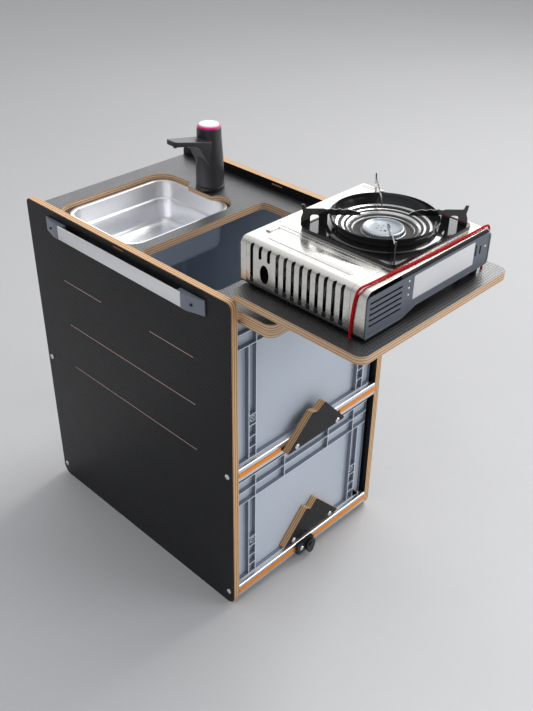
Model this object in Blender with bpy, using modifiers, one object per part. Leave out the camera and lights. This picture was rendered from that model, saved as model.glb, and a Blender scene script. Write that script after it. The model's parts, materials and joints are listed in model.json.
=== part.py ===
# Campervan kitchen pod: two ply side panels joined by slotted rails, a worktop with a sink and
# a bin opening, two stacking boxes on the rails, a pump tap, and a swivelling board with a stove.
# Lengths are metres. The pod is laid out with x from the left panel's outer face, y from the
# panels' front edges and z from the ground, under an empty that centres it on its footprint.

import math

import bmesh
import bpy
from mathutils import Matrix, Vector

# Whole pod
POD_WIDTH = 0.438
POD_DEPTH = 0.605
TOP_HEIGHT = 0.709
PANEL_ABOVE_TOP = 0.020
POD_HEIGHT = TOP_HEIGHT + PANEL_ABOVE_TOP
FIT_GAP = 0.0003
CUT_OVERRUN = 0.002
MERGE_DISTANCE = 0.00001
ARC_STEPS = 4
ROUND_STEPS = 24
SMALL_ROUND_STEPS = 10
SHADE_ANGLE = math.radians(35)
FLAT_ANGLE = math.radians(0.5)

# Side panels
PANEL_THICKNESS = 0.015
PANEL_TOP_RADIUS = 0.012
PANEL_FOOT_RADIUS = 0.022
PANEL_SLOT_LENGTH = 0.030
PANEL_SLOT_HEIGHT = 0.003
PANEL_SLOT_TO_TOP = 0.007

# Slotted rails and their bolts
RAIL_SIZE = 0.030
RAIL_BOTTOM_LOW = 0.017
RAIL_MIDDLE_LOW = 0.3312
RAIL_SLOT_WIDTH = 0.0082
RAIL_LIP = 0.0022
RAIL_SLOT_INNER_WIDTH = 0.0165
RAIL_SLOT_SHOULDER = 0.0042
RAIL_SLOT_DEPTH = 0.0075
RAIL_CORE_WIDTH = 0.0098
RAIL_BORE_RADIUS = 0.0034
RAIL_CORNER_RADIUS = 0.0015
COVER_HEIGHT = 0.010
COVER_PROUD = 0.0009
COVER_STEM_WIDTH = 0.0070
COVER_STEM_DEPTH = 0.0030
BOLT_SHANK_RADIUS = 0.0030
BOLT_HEAD_RADIUS = 0.0060
BOLT_HEAD_HEIGHT = 0.0034
BOLT_SOCKET_RADIUS = 0.0022
BOLT_SOCKET_DEPTH = 0.0018
BOLT_IN_RAIL = 0.025
BOLT_CLEARANCE = 0.0003
SLOT_NUT_WIDTH = 0.013
SLOT_NUT_LENGTH = 0.013
SLOT_NUT_THICKNESS = 0.0024

# Worktop
TOP_THICKNESS = 0.015
TOP_BACK_GAP = 0.003
NOSE_REACH = 0.072
NOSE_SIDE_INSET = 0.021
NOSE_RADIUS = 0.018
NOSE_EASE = 0.0005
DOUBLER_THICKNESS = 0.012
DOUBLER_INSET = 0.0015
DOUBLER_BACK = 0.008
BIN_FROM_RIGHT = 0.074
BIN_X = (0.037, POD_WIDTH - BIN_FROM_RIGHT)
BIN_Y = (0.075, 0.285)
BIN_RADIUS = 0.013

# Sink cut-out, a rebate with a ledge, and the tongue that carries the tap
SINK_FROM_RIGHT = 0.116
SINK_X = (0.028, POD_WIDTH - SINK_FROM_RIGHT)
SINK_Y = (0.311, 0.557)
SINK_RADIUS = 0.046
SINK_REBATE = 0.012
SINK_LEDGE = 0.0067
SINK_HOLE_X = (0.036, SINK_X[1] - SINK_LEDGE)
SINK_HOLE_Y = (0.329, 0.5468)
SINK_HOLE_RADIUS = 0.038
TONGUE_REACH = 0.018
TONGUE_EDGE = SINK_X[1] - TONGUE_REACH
TONGUE_HALF_WIDTH = 0.046
TONGUE_SLOPE = 0.008
TONGUE_RADIUS = 0.008
TONGUE_THICKNESS = 0.0105

# Sink pan
PAN_RIGHT_GAP = 0.0015
PAN_X = (0.047, SINK_X[1] - PAN_RIGHT_GAP)
PAN_Y = (0.324, 0.552)
PAN_FLANGE = 0.0075
PAN_CORNER = 0.042
PAN_SHEET = 0.0009
PAN_DEPTH = 0.095
PAN_SHOULDER_DEPTH = 0.038
PAN_SHOULDER = 0.004
PAN_DRAFT = 0.006
PAN_FLOOR_FILLET = 0.020

# Stacking boxes
BOX_SIDE_GAP = 0.019
BOX_WIDTH = POD_WIDTH - 2 * BOX_SIDE_GAP
BOX_LENGTH = 0.600
BOX_FRONT = 0.009
LOWER_BOX_HEIGHT = 0.270
UPPER_BOX_TOP_GAP = 0.0125
BOX_RIB_DEPTH = 0.010
BOX_WALL = 0.0025
BOX_FLOOR = 0.004
BOX_RADIUS = 0.012
BOX_RIB = 0.002
BOX_EDGE_RIB = 0.003
BOX_OUTER_CELL = 0.028
BOX_SMALL_CELL = 0.017
BOX_SMALL_CELL_TOPS = (0.027, 0.052, 0.079, 0.103)
BOX_RIM_HEIGHT = 0.060
BOX_RIM_ROW = 0.028
BOX_GRIP_WIDTH = 0.131
BOX_SIDE_CELLS = 3

# Ply plates at the boxes' fronts: outlines as x from the pod's left and z above the plate's foot
PLY_PLATE_THICKNESS = 0.015
STOP_PLATE_FOOT = 0.3375
STOP_PLATE_OUTLINE = (
    (0.130, 0.000), (0.203, 0.0695), (0.218, 0.0645), (0.240, 0.078), (0.307, 0.002))
STOP_BOLT_X = (0.160, 0.2815)
STOP_BOLT_RISE = 0.0087
PULL_PLATE_OUTLINE = (
    (0.150, 0.000), (0.221, 0.0765), (0.234, 0.0665), (0.253, 0.0855), (0.331, 0.001))
PULL_SCREW_X = (0.182, 0.300)
PULL_SCREW_RISE = 0.009
PLATE_CORNER_RADIUS = 0.003

# Turn catch on the bottom rail
CATCH_X = (0.185, 0.236)
CATCH_THICKNESS = 0.0077
CATCH_RADIUS = 0.004
CATCH_BOLT_X = 0.197
CATCH_PIVOT_X = 0.222
CATCH_HUB_RADIUS = 0.0135
CATCH_LOBE_DROP = 0.0245
CATCH_LOBE_TIP_RADIUS = 0.009
CATCH_LOBE_THICKNESS = 0.0065
CATCH_PIN_RADIUS = 0.004
CATCH_PIN_CAP_RADIUS = 0.0065
CATCH_PIN_CAP = 0.002

# Carrying handles
HANDLE_REACH = 0.013
HANDLE_BAR_THICKNESS = 0.004
HANDLE_HEIGHT = 0.030
HANDLE_BELOW_TOP = 0.048
HANDLE_LOW = POD_HEIGHT - HANDLE_BELOW_TOP
HANDLE_BAR_Y = (0.115, 0.482)
HANDLE_CAP_LENGTH = 0.052
HANDLE_CAP_TIP = 0.003
HANDLE_CAP_FLAT = 0.014
HANDLE_CAP_SOCKET = 0.012
HANDLE_SCREW_RADIUS = 0.0028
HANDLE_BEVEL = 0.0012

# Tap
TAP_FROM_RIGHT = 0.102
TAP_X = POD_WIDTH - TAP_FROM_RIGHT
TAP_Y = 0.418
TAP_BASE_RADIUS = 0.031
TAP_BASE_HEIGHT = 0.009
TAP_FOOT_RADIUS = 0.0295
TAP_TOP_RADIUS = 0.0235
TAP_RISE = 0.134
TAP_BODY_TOP = TOP_HEIGHT + TAP_RISE
TAP_GROOVE_BELOW = 0.0025
TAP_GROOVE_Z = TAP_BODY_TOP - TAP_GROOVE_BELOW
TAP_GROOVE_HALF = 0.00075
TAP_SWELL_POWER = 1.4
TAP_SWELL_SHARES = (0.3, 0.55, 0.8, 1.0)
TAP_STEM_RADIUS = 0.008
TAP_NUT_RADIUS = 0.014
TAP_NUT_HEIGHT = 0.006
TAP_STEM_BELOW = 0.0085
TAP_RING_HEIGHT = 0.004
TAP_RING_WALL = 0.0035
TAP_BUTTON_PROUD = 0.0022
TAP_BUTTON_TRAVEL = 0.0015
SPOUT_REACH = 0.107
SPOUT_BELOW = 0.0045
SPOUT_TOP = TAP_BODY_TOP - SPOUT_BELOW
SPOUT_TIP_HEIGHT = 0.013
SPOUT_ROOT_HEIGHT = 0.040
SPOUT_TIP_WIDTH = 0.030
SPOUT_ROOT_WIDTH = 0.046
SPOUT_RADIUS = 0.006
SPOUT_SWELL_RADIUS = 0.022
NOZZLE_RADIUS = 0.006
NOZZLE_DROP = 0.006
NOZZLE_INSET = 0.013

# Swivel and stove board
BOARD_X = (0.011, 0.411)
BOARD_Y = (-0.269, 0.017)
BOARD_RISE = 0.021
BOARD_LOW = TOP_HEIGHT + BOARD_RISE
BOARD_THICKNESS = 0.015
BOARD_RADIUS = 0.018
PIVOT_X = 0.211
PIVOT_Y = -0.030
SWIVEL_BASE_RADIUS = 0.034
SWIVEL_PLATE_RADIUS = 0.030
SWIVEL_BASE_SHARE = 0.5
PIVOT_RADIUS = 0.004
PIVOT_HEAD_RADIUS = 0.009
PIVOT_HEAD_HEIGHT = 0.004
PIVOT_NUT_RADIUS = 0.0075
PIVOT_NUT_HEIGHT = 0.0065
PIVOT_NUT_SIDES = 6

# Gas stove
STOVE_X = (0.047, 0.376)
STOVE_Y = (-0.2400, 0.0250)
STOVE_STAND = 0.005
STOVE_HEIGHT = 0.080
STOVE_ARCH_RISE = 0.012
STOVE_LOW = BOARD_LOW + BOARD_THICKNESS + STOVE_STAND
STOVE_TOP = STOVE_LOW + STOVE_HEIGHT
STOVE_RAISED_LOW = STOVE_LOW + STOVE_ARCH_RISE
STOVE_SHEET = 0.0015
STOVE_FLOOR = 0.002
STOVE_LEFT_RADIUS = 0.014
STOVE_RIGHT_RADIUS = 0.018
STOVE_ARCH_X = (0.138, 0.172)
STOVE_FOOT_LENGTH = 0.022
STOVE_FOOT_DEPTH = 0.012
STOVE_FOOT_INSET = 0.010
STOVE_LEG_X = (0.317, 0.344)
BAY_RIGHT = 0.130
LID_Y = (-0.2095, 0.0120)
LID_SLOT_PITCH = 0.017
LID_SLOT_WIDTH = 0.0065
LID_SLOT_COUNT = 13
LID_FIRST_SLOT_Y = -0.0006
LID_SHORT_SLOTS = (1, 2)
LID_SLOT_RISE = 0.012
LID_SHORT_SLOT_RISE = 0.057
LID_SLOT_OVER = 0.011
LID_HOLE_Y = -0.0296
LID_HOLE_RISE = 0.029
LID_HOLE_Z = STOVE_LOW + LID_HOLE_RISE
LID_HOLE_WIDTH = 0.020
LID_HOLE_HEIGHT = 0.034
LID_HINGE_RADIUS = 0.0015
END_PANEL_THICKNESS = 0.0027
END_PANEL_RISE = 0.0105
END_PANEL_DROP = 0.0088
END_PANEL_Z = (STOVE_LOW + END_PANEL_RISE, STOVE_TOP - END_PANEL_DROP)
VENT_COUNT = 6
VENT_X = (0.060, 0.140)
VENT_RISE = 0.012
VENT_LOW = STOVE_LOW + VENT_RISE
VENT_PITCH = 0.0085
VENT_HEIGHT = 0.0035
END_SLOT_X = (0.337, 0.348)
END_SLOT_WIDTH = 0.004
END_SLOT_HEIGHT = 0.018
END_SLOT_RISE = 0.048
END_SLOT_Z = STOVE_LOW + END_SLOT_RISE
BURNER_X = 0.234
BURNER_Y = -0.122
BURNER_STEM_RADIUS = 0.014
BURNER_STEM_DEPTH = 0.030
BURNER_OPENING_RADIUS = 0.028
BURNER_RADIUS = 0.036
BURNER_RISE = 0.004
BURNER_HEIGHT = 0.018
BURNER_LOW = STOVE_TOP + BURNER_RISE
BURNER_TOP = BURNER_LOW + BURNER_HEIGHT
BURNER_SHARES = (
    (0.0, 0.8), (0.55, 0.83), (0.75, 1.0), (0.92, 1.0), (1.0, 0.8), (0.88, 0.25), (0.8, 0.0))
BOWL_INNER_RADIUS = 0.040
BOWL_OUTER_RADIUS = 0.084
BOWL_RIM_RISE = 0.016
BOWL_SHEET = 0.0012
BOWL_SHARES = ((0.0, 0.0), (0.35, 0.02), (0.6, 0.16), (0.8, 0.42), (0.93, 0.78), (1.0, 1.0))
TRAY_X = (0.130, 0.345)
TRAY_Y = (-0.224, -0.026)
TRAY_HEIGHT = 0.008
TRAY_RADIUS = 0.012
TRAY_HOLE_RADIUS = 0.087
RING_RADIUS = 0.0915
RING_WALL = 0.0025
RING_RISE = 0.027
RING_TOP = STOVE_TOP + RING_RISE
ARM_THICKNESS = 0.002
ARM_COUNT = 4
ARM_TIP_RADIUS = 0.137
ARM_TIP_RISE = 0.042
ARM_RISE = 0.036
ARM_DEPTH = 0.008
ARM_TIP_TOP = STOVE_TOP + ARM_TIP_RISE
ARM_TOP = STOVE_TOP + ARM_RISE
ARM_LOW = ARM_TOP - ARM_DEPTH
ARM_INNER_RADIUS = 0.058
ARM_LEG = 0.013
ARM_WINDOW_GAP = 0.016
ARM_HORN = 0.006
KNOB_X = 0.340
KNOB_RISE = 0.042
KNOB_Z = STOVE_LOW + KNOB_RISE
KNOB_RADIUS = 0.020
KNOB_DEPTH = 0.016
KNOB_GRIP_WIDTH = 0.007
KNOB_GRIP_HEIGHT = 0.006
KNOB_EDGE = 0.0012
KNOB_SHAFT_RADIUS = 0.004
KNOB_SHAFT_LENGTH = 0.012
CONTROL_PANEL_THICKNESS = 0.0020
LEVER_X = 0.150
LEVER_RISE = 0.036
LEVER_Z = STOVE_LOW + LEVER_RISE
LEVER_WIDTH = 0.016
LEVER_HEIGHT = 0.007
LEVER_REACH = 0.014
LEVER_STEM_WIDTH = 0.004
LEVER_TRAVEL = 0.018
CARTRIDGE_RADIUS = 0.033
CARTRIDGE_X = 0.0895
CARTRIDGE_Y = (-0.200, -0.020)
CARTRIDGE_NECK_RADIUS = 0.013
CARTRIDGE_NECK = 0.010
CARTRIDGE_DOME = 0.012

# Elastic cord over the stove, its route as x, y and height above the board
CORD_RADIUS = 0.002
CORD_HOLE_DEPTH = 0.010
CORD_HOLE_RADIUS = 0.0025
CORD_STEP = 0.008
CORD_ROUTE = (
    (0.0444, -0.2160, -0.0094), (0.0444, -0.2158, 0.0000), (0.0442, -0.2162, 0.0250),
    (0.0442, -0.2190, 0.0550), (0.0441, -0.2222, 0.0740), (0.0468, -0.2246, 0.0847),
    (0.0550, -0.2260, 0.0880), (0.0700, -0.2270, 0.0878), (0.1300, -0.2295, 0.0876),
    (0.2380, -0.2340, 0.0876), (0.3300, -0.2360, 0.0876), (0.3590, -0.2362, 0.0876),
    (0.3737, -0.2360, 0.0844), (0.3793, -0.2350, 0.0720), (0.3792, -0.2330, 0.0450),
    (0.3792, -0.2320, 0.0000), (0.3792, -0.2320, -0.0094))

# Colours, as linear red, green and blue, with roughness and metallic value
COLOURS = {
    "ply_black": ((0.012, 0.012, 0.013), 0.45, 0.0),
    "aluminium": ((0.72, 0.73, 0.74), 0.35, 1.0),
    "steel": ((0.62, 0.61, 0.59), 0.22, 1.0),
    "bolt": ((0.66, 0.66, 0.66), 0.3, 1.0),
    "orange": ((0.9, 0.24, 0.01), 0.5, 0.0),
    "box_grey": ((0.30, 0.36, 0.46), 0.5, 0.0),
    "grey_plastic": ((0.18, 0.20, 0.23), 0.45, 0.0),
    "black_plastic": ((0.010, 0.010, 0.012), 0.4, 0.0),
    "tap_grey": ((0.045, 0.046, 0.050), 0.45, 0.0),
    "pink": ((0.85, 0.03, 0.30), 0.4, 0.0),
    "white": ((0.85, 0.85, 0.87), 0.35, 0.0),
    "stove_sheet": ((0.60, 0.57, 0.50), 0.18, 1.0),
    "stove_grey": ((0.10, 0.115, 0.14), 0.45, 0.0),
    "enamel": ((0.012, 0.012, 0.014), 0.2, 0.0),
    "cartridge": ((0.75, 0.75, 0.72), 0.35, 0.0),
    "red": ((0.80, 0.012, 0.02), 0.6, 0.0),
}

PLANES = {
    "XY": Matrix(((1, 0, 0, 0), (0, 1, 0, 0), (0, 0, 1, 0), (0, 0, 0, 1))),
    "XZ": Matrix(((1, 0, 0, 0), (0, 0, -1, 0), (0, 1, 0, 0), (0, 0, 0, 1))),
    "YZ": Matrix(((0, 0, 1, 0), (1, 0, 0, 0), (0, 1, 0, 0), (0, 0, 0, 1))),
}
TURNS = {
    "X": Matrix.Rotation(math.pi / 2, 4, "Y"),
    "-X": Matrix.Rotation(-math.pi / 2, 4, "Y"),
    "Y": Matrix.Rotation(-math.pi / 2, 4, "X"),
    "-Y": Matrix.Rotation(math.pi / 2, 4, "X"),
    "Z": Matrix.Identity(4),
    "-Z": Matrix.Rotation(math.pi, 4, "X"),
}

for item in list(bpy.data.objects):
    bpy.data.objects.remove(item, do_unlink=True)

pod = bpy.data.collections.new("kitchen_pod")
cutters = bpy.data.collections.new("cutters")
bpy.context.scene.collection.children.link(pod)
bpy.context.scene.collection.children.link(cutters)

frame = bpy.data.objects.new("pod_frame", None)
frame.location = (
    -POD_WIDTH / 2,
    -(BOARD_Y[0] + BOX_FRONT + BOX_LENGTH) / 2,
    0)
pod.objects.link(frame)


def paint(piece, colour):
    material = bpy.data.materials.get(colour)
    if material is None:
        material = bpy.data.materials.new(colour)
        material.use_nodes = True
        shader = material.node_tree.nodes["Principled BSDF"]
        rgb, roughness, metallic = COLOURS[colour]
        shader.inputs["Base Color"].default_value = (*rgb, 1)
        shader.inputs["Roughness"].default_value = roughness
        shader.inputs["Metallic"].default_value = metallic
    piece.data.materials.clear()
    piece.data.materials.append(material)


def add_piece(name, mesh, colour=None):
    """Link a mesh as a part, or as a cutter when it has no colour."""
    piece = bpy.data.objects.new(name, mesh)
    piece.parent = frame
    if colour is None:
        cutters.objects.link(piece)
        piece.hide_render = True
        piece.display_type = "WIRE"
    else:
        pod.objects.link(piece)
        paint(piece, colour)
    return piece


def move_origin(piece, point):
    """Put the origin of a piece on a point of the layout and leave its shape where it is."""
    shift = Vector(point) - piece.location
    piece.data.transform(Matrix.Translation(-shift))
    piece.location = point


def shade_round(piece):
    piece.data.shade_smooth()
    piece.data.set_sharp_from_angle(angle=SHADE_ANGLE)


def boolean(piece, tool, operation="DIFFERENCE"):
    modifier = piece.modifiers.new(tool.name, "BOOLEAN")
    modifier.operation = operation
    modifier.solver = "EXACT"
    modifier.object = tool


def round_corners(corners):
    """Turn (u, v, radius) corners into the points of an outline with round corners."""
    points = []
    for index, (u, v, radius) in enumerate(corners):
        here = Vector((u, v))
        if not radius:
            points.append(here)
            continue
        before = Vector(corners[index - 1][:2]) - here
        after = Vector(corners[(index + 1) % len(corners)][:2]) - here
        before.normalize()
        after.normalize()
        half = before.angle(after) / 2
        centre = here + (before + after).normalized() * radius / math.sin(half)
        start = here + before * radius / math.tan(half) - centre
        end = here + after * radius / math.tan(half) - centre
        turn = math.atan2(start.cross(end), start.dot(end))
        steps = max(1, round(ARC_STEPS * abs(turn) / (math.pi / 2)))
        for step in range(steps + 1):
            points.append(centre + Matrix.Rotation(turn * step / steps, 2) @ start)
    return points


def rectangle(u, v, radius=0):
    return round_corners(
        [(u[0], v[0], radius), (u[1], v[0], radius), (u[1], v[1], radius), (u[0], v[1], radius)])


def circle(centre, radius, steps=ROUND_STEPS):
    return [
        Vector(centre) + Vector((math.cos(angle), math.sin(angle))) * radius
        for angle in (math.tau * step / steps for step in range(steps))]


def prism_mesh(name, loops, span, plane="XY"):
    """Extrude a flat outline, with any holes as further loops, over a span along its normal."""
    curve = bpy.data.curves.new(name, "CURVE")
    curve.dimensions = "2D"
    curve.fill_mode = "BOTH"
    curve.extrude = (span[1] - span[0]) / 2
    for loop in loops:
        spline = curve.splines.new("POLY")
        spline.points.add(len(loop) - 1)
        for point, place in zip(spline.points, loop):
            point.co = (place[0], place[1], 0, 1)
        spline.use_cyclic_u = True
    draft = bpy.data.objects.new(name, curve)
    bpy.context.scene.collection.objects.link(draft)
    graph = bpy.context.evaluated_depsgraph_get()
    mesh = bpy.data.meshes.new_from_object(draft.evaluated_get(graph))
    bpy.data.objects.remove(draft, do_unlink=True)
    bpy.data.curves.remove(curve)
    shape = bmesh.new()
    shape.from_mesh(mesh)
    bmesh.ops.remove_doubles(shape, verts=shape.verts, dist=MERGE_DISTANCE)
    bmesh.ops.dissolve_limit(
        shape, angle_limit=FLAT_ANGLE, verts=shape.verts, edges=shape.edges)
    shape.to_mesh(mesh)
    shape.free()
    middle = (span[0] + span[1]) / 2
    along = -middle if plane == "XZ" else middle
    mesh.transform(PLANES[plane] @ Matrix.Translation((0, 0, along)))
    return mesh


def prism(name, loops, span, plane="XY", colour=None):
    return add_piece(name, prism_mesh(name, loops, span, plane), colour)


def add_block(shape, x, y, z):
    size = Matrix.Diagonal((x[1] - x[0], y[1] - y[0], z[1] - z[0], 1))
    middle = Vector((x[0] + x[1], y[0] + y[1], z[0] + z[1])) / 2
    bmesh.ops.create_cube(shape, size=1, matrix=Matrix.Translation(middle) @ size)


def blocks(name, spans, colour=None):
    """Make one mesh of boxes, each given as its x, y and z span."""
    mesh = bpy.data.meshes.new(name)
    shape = bmesh.new()
    for x, y, z in spans:
        add_block(shape, x, y, z)
    shape.to_mesh(mesh)
    shape.free()
    return add_piece(name, mesh, colour)


def bevel(piece, width, segments=2):
    modifier = piece.modifiers.new("bevel", "BEVEL")
    modifier.width = width
    modifier.segments = segments
    modifier.limit_method = "ANGLE"


def rod(name, centre, axis, span, radius, colour=None, steps=ROUND_STEPS):
    """Make a cylinder along an axis, over a span measured along it from the centre point."""
    mesh = bpy.data.meshes.new(name)
    shape = bmesh.new()
    bmesh.ops.create_cone(
        shape, cap_ends=True, segments=steps, radius1=radius, radius2=radius,
        depth=span[1] - span[0],
        matrix=Matrix.Translation((0, 0, (span[0] + span[1]) / 2)))
    shape.to_mesh(mesh)
    shape.free()
    mesh.transform(Matrix.Translation(centre) @ TURNS[axis])
    return add_piece(name, mesh, colour)


def turned(name, centre, axis, profile, colour=None, steps=ROUND_STEPS, closed=False):
    """Turn a profile of (radius, height) points that runs down its outer side."""
    mesh = bpy.data.meshes.new(name)
    shape = bmesh.new()
    corners = [shape.verts.new((radius, 0, height)) for radius, height in profile]
    for first, second in zip(corners, corners[1:]):
        shape.edges.new((first, second))
    if closed:
        shape.edges.new((corners[-1], corners[0]))
    shape.to_mesh(mesh)
    shape.free()
    piece = add_piece(name, mesh, colour)
    piece.location = centre
    piece.rotation_euler = TURNS[axis].to_euler()
    screw = piece.modifiers.new("turn", "SCREW")
    screw.steps = steps
    screw.render_steps = steps
    screw.use_merge_vertices = True
    screw.merge_threshold = MERGE_DISTANCE
    screw.use_smooth_shade = True
    return piece


def button_bolt(name, seat, axis, length, colour="bolt", nut_span=None):
    """A button-head bolt: its head points along the axis and stands just off the seat."""
    top = FIT_GAP + BOLT_HEAD_HEIGHT
    shoulder = BOLT_HEAD_RADIUS - BOLT_HEAD_HEIGHT / 2
    profile = [
        (0, top - BOLT_SOCKET_DEPTH),
        (BOLT_SOCKET_RADIUS, top - BOLT_SOCKET_DEPTH),
        (BOLT_SOCKET_RADIUS, top),
        (shoulder, top - BOLT_SOCKET_DEPTH / 4),
        (BOLT_HEAD_RADIUS, FIT_GAP + BOLT_HEAD_HEIGHT / 4),
        (BOLT_HEAD_RADIUS, FIT_GAP),
        (BOLT_SHANK_RADIUS, FIT_GAP),
        (BOLT_SHANK_RADIUS, -length),
        (0, -length)]
    bolt = turned(name, seat, axis, profile, colour, SMALL_ROUND_STEPS)
    if nut_span:
        half_width = SLOT_NUT_WIDTH / 2
        half_length = SLOT_NUT_LENGTH / 2
        nut = blocks(
            name + "_nut",
            [((seat[0] - half_length, seat[0] + half_length), nut_span,
              (seat[2] - half_width, seat[2] + half_width))])
        boolean(bolt, nut, "UNION")
    return bolt


# Places that several pieces share
INNER_X = (PANEL_THICKNESS, POD_WIDTH - PANEL_THICKNESS)
FITTED_X = (INNER_X[0] + FIT_GAP, INNER_X[1] - FIT_GAP)
RAIL_LOWS = {"bottom": RAIL_BOTTOM_LOW, "middle": RAIL_MIDDLE_LOW}
RAIL_FRONTS = {"front": 0, "rear": POD_DEPTH - RAIL_SIZE}
RAIL_HALF = RAIL_SIZE / 2
TOP_LOW = TOP_HEIGHT - TOP_THICKNESS
BOX_X = ((POD_WIDTH - BOX_WIDTH) / 2, (POD_WIDTH + BOX_WIDTH) / 2)
BOARD_TOP = BOARD_LOW + BOARD_THICKNESS
LOWER_BOX_FOOT = RAIL_BOTTOM_LOW + RAIL_SIZE + FIT_GAP
UPPER_BOX_FOOT = RAIL_MIDDLE_LOW + RAIL_SIZE + FIT_GAP
UPPER_BOX_HEIGHT = TOP_LOW - UPPER_BOX_TOP_GAP - UPPER_BOX_FOOT
PULL_PLATE_FOOT = LOWER_BOX_FOOT + BOX_EDGE_RIB + FIT_GAP
CATCH_AXIS_Z = RAIL_BOTTOM_LOW + RAIL_HALF
LID_HINGE_X = STOVE_X[0] + LID_HINGE_RADIUS
LID_HINGE_Z = STOVE_LOW + STOVE_FLOOR + LID_HINGE_RADIUS + FIT_GAP


def rail_centres():
    for height, low in RAIL_LOWS.items():
        for side, front in RAIL_FRONTS.items():
            yield height, side, front + RAIL_HALF, low + RAIL_HALF


def make_side_panels():
    outline = round_corners([
        (0, 0, PANEL_FOOT_RADIUS), (POD_DEPTH, 0, PANEL_FOOT_RADIUS),
        (POD_DEPTH, POD_HEIGHT, PANEL_TOP_RADIUS), (0, POD_HEIGHT, PANEL_TOP_RADIUS)])
    slot_y = (POD_DEPTH - PANEL_SLOT_LENGTH) / 2
    slot_z = POD_HEIGHT - PANEL_SLOT_TO_TOP - PANEL_SLOT_HEIGHT / 2
    slot = rectangle(
        (slot_y, slot_y + PANEL_SLOT_LENGTH), (slot_z, slot_z + PANEL_SLOT_HEIGHT))
    holes = [
        circle((y, z), BOLT_SHANK_RADIUS + BOLT_CLEARANCE, SMALL_ROUND_STEPS)
        for _, _, y, z in rail_centres()]
    loops = [outline, slot, *holes]
    prism("left_side_panel", loops, (0, PANEL_THICKNESS), "YZ", "ply_black")
    prism("right_side_panel", loops, (INNER_X[1], POD_WIDTH), "YZ", "ply_black")


def rail_section(centre):
    """The slotted square section, one quarter at a time, and its bore."""
    quarter = [
        (-RAIL_HALF + RAIL_CORNER_RADIUS, RAIL_HALF),
        (-RAIL_SLOT_WIDTH / 2, RAIL_HALF),
        (-RAIL_SLOT_WIDTH / 2, RAIL_HALF - RAIL_LIP),
        (-RAIL_SLOT_INNER_WIDTH / 2, RAIL_HALF - RAIL_LIP),
        (-RAIL_SLOT_INNER_WIDTH / 2, RAIL_HALF - RAIL_SLOT_SHOULDER),
        (-RAIL_CORE_WIDTH / 2, RAIL_HALF - RAIL_SLOT_DEPTH)]
    side = quarter + [(-u, v) for u, v in reversed(quarter)]
    outline = []
    for turn in range(4):
        spin = Matrix.Rotation(-turn * math.pi / 2, 2)
        outline += [Vector(centre) + spin @ Vector(point) for point in side]
    return [outline, circle(centre, RAIL_BORE_RADIUS, SMALL_ROUND_STEPS)]


def make_rails():
    for height, side, y, z in rail_centres():
        prism(f"rail_{side}_{height}", rail_section((y, z)), FITTED_X, "YZ", "aluminium")


def make_slot_covers():
    spans = {
        "middle": (STOP_PLATE_OUTLINE[0][0] - FIT_GAP, STOP_PLATE_OUTLINE[-1][0] + FIT_GAP),
        "bottom": (CATCH_X[0] - FIT_GAP, CATCH_X[1] + FIT_GAP)}
    half = COVER_HEIGHT / 2
    stem = COVER_STEM_WIDTH / 2
    for height, (stop, start) in spans.items():
        z = RAIL_LOWS[height] + RAIL_HALF
        outline = [
            (-COVER_PROUD - FIT_GAP, z - half), (-FIT_GAP, z - half), (-FIT_GAP, z - stem),
            (COVER_STEM_DEPTH, z - stem), (COVER_STEM_DEPTH, z + stem), (-FIT_GAP, z + stem),
            (-FIT_GAP, z + half), (-COVER_PROUD - FIT_GAP, z + half)]
        left = (FITTED_X[0] + FIT_GAP, stop)
        right = (start, FITTED_X[1] - FIT_GAP)
        prism(f"slot_cover_{height}_left", [outline], left, "YZ", "orange")
        prism(f"slot_cover_{height}_right", [outline], right, "YZ", "orange")


def make_panel_bolts():
    length = PANEL_THICKNESS + BOLT_IN_RAIL
    for height, side, y, z in rail_centres():
        button_bolt(f"panel_bolt_left_{side}_{height}", (0, y, z), "-X", length)
        button_bolt(f"panel_bolt_right_{side}_{height}", (POD_WIDTH, y, z), "X", length)


def sink_outline():
    low = TAP_Y - TONGUE_HALF_WIDTH
    high = TAP_Y + TONGUE_HALF_WIDTH
    return round_corners([
        (SINK_X[0], SINK_Y[0], SINK_RADIUS), (SINK_X[1], SINK_Y[0], SINK_RADIUS),
        (SINK_X[1], low, TONGUE_RADIUS),
        (TONGUE_EDGE, low + TONGUE_SLOPE, TONGUE_RADIUS),
        (TONGUE_EDGE, high - TONGUE_SLOPE, TONGUE_RADIUS),
        (SINK_X[1], high, TONGUE_RADIUS),
        (SINK_X[1], SINK_Y[1], SINK_RADIUS), (SINK_X[0], SINK_Y[1], SINK_RADIUS)])


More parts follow.
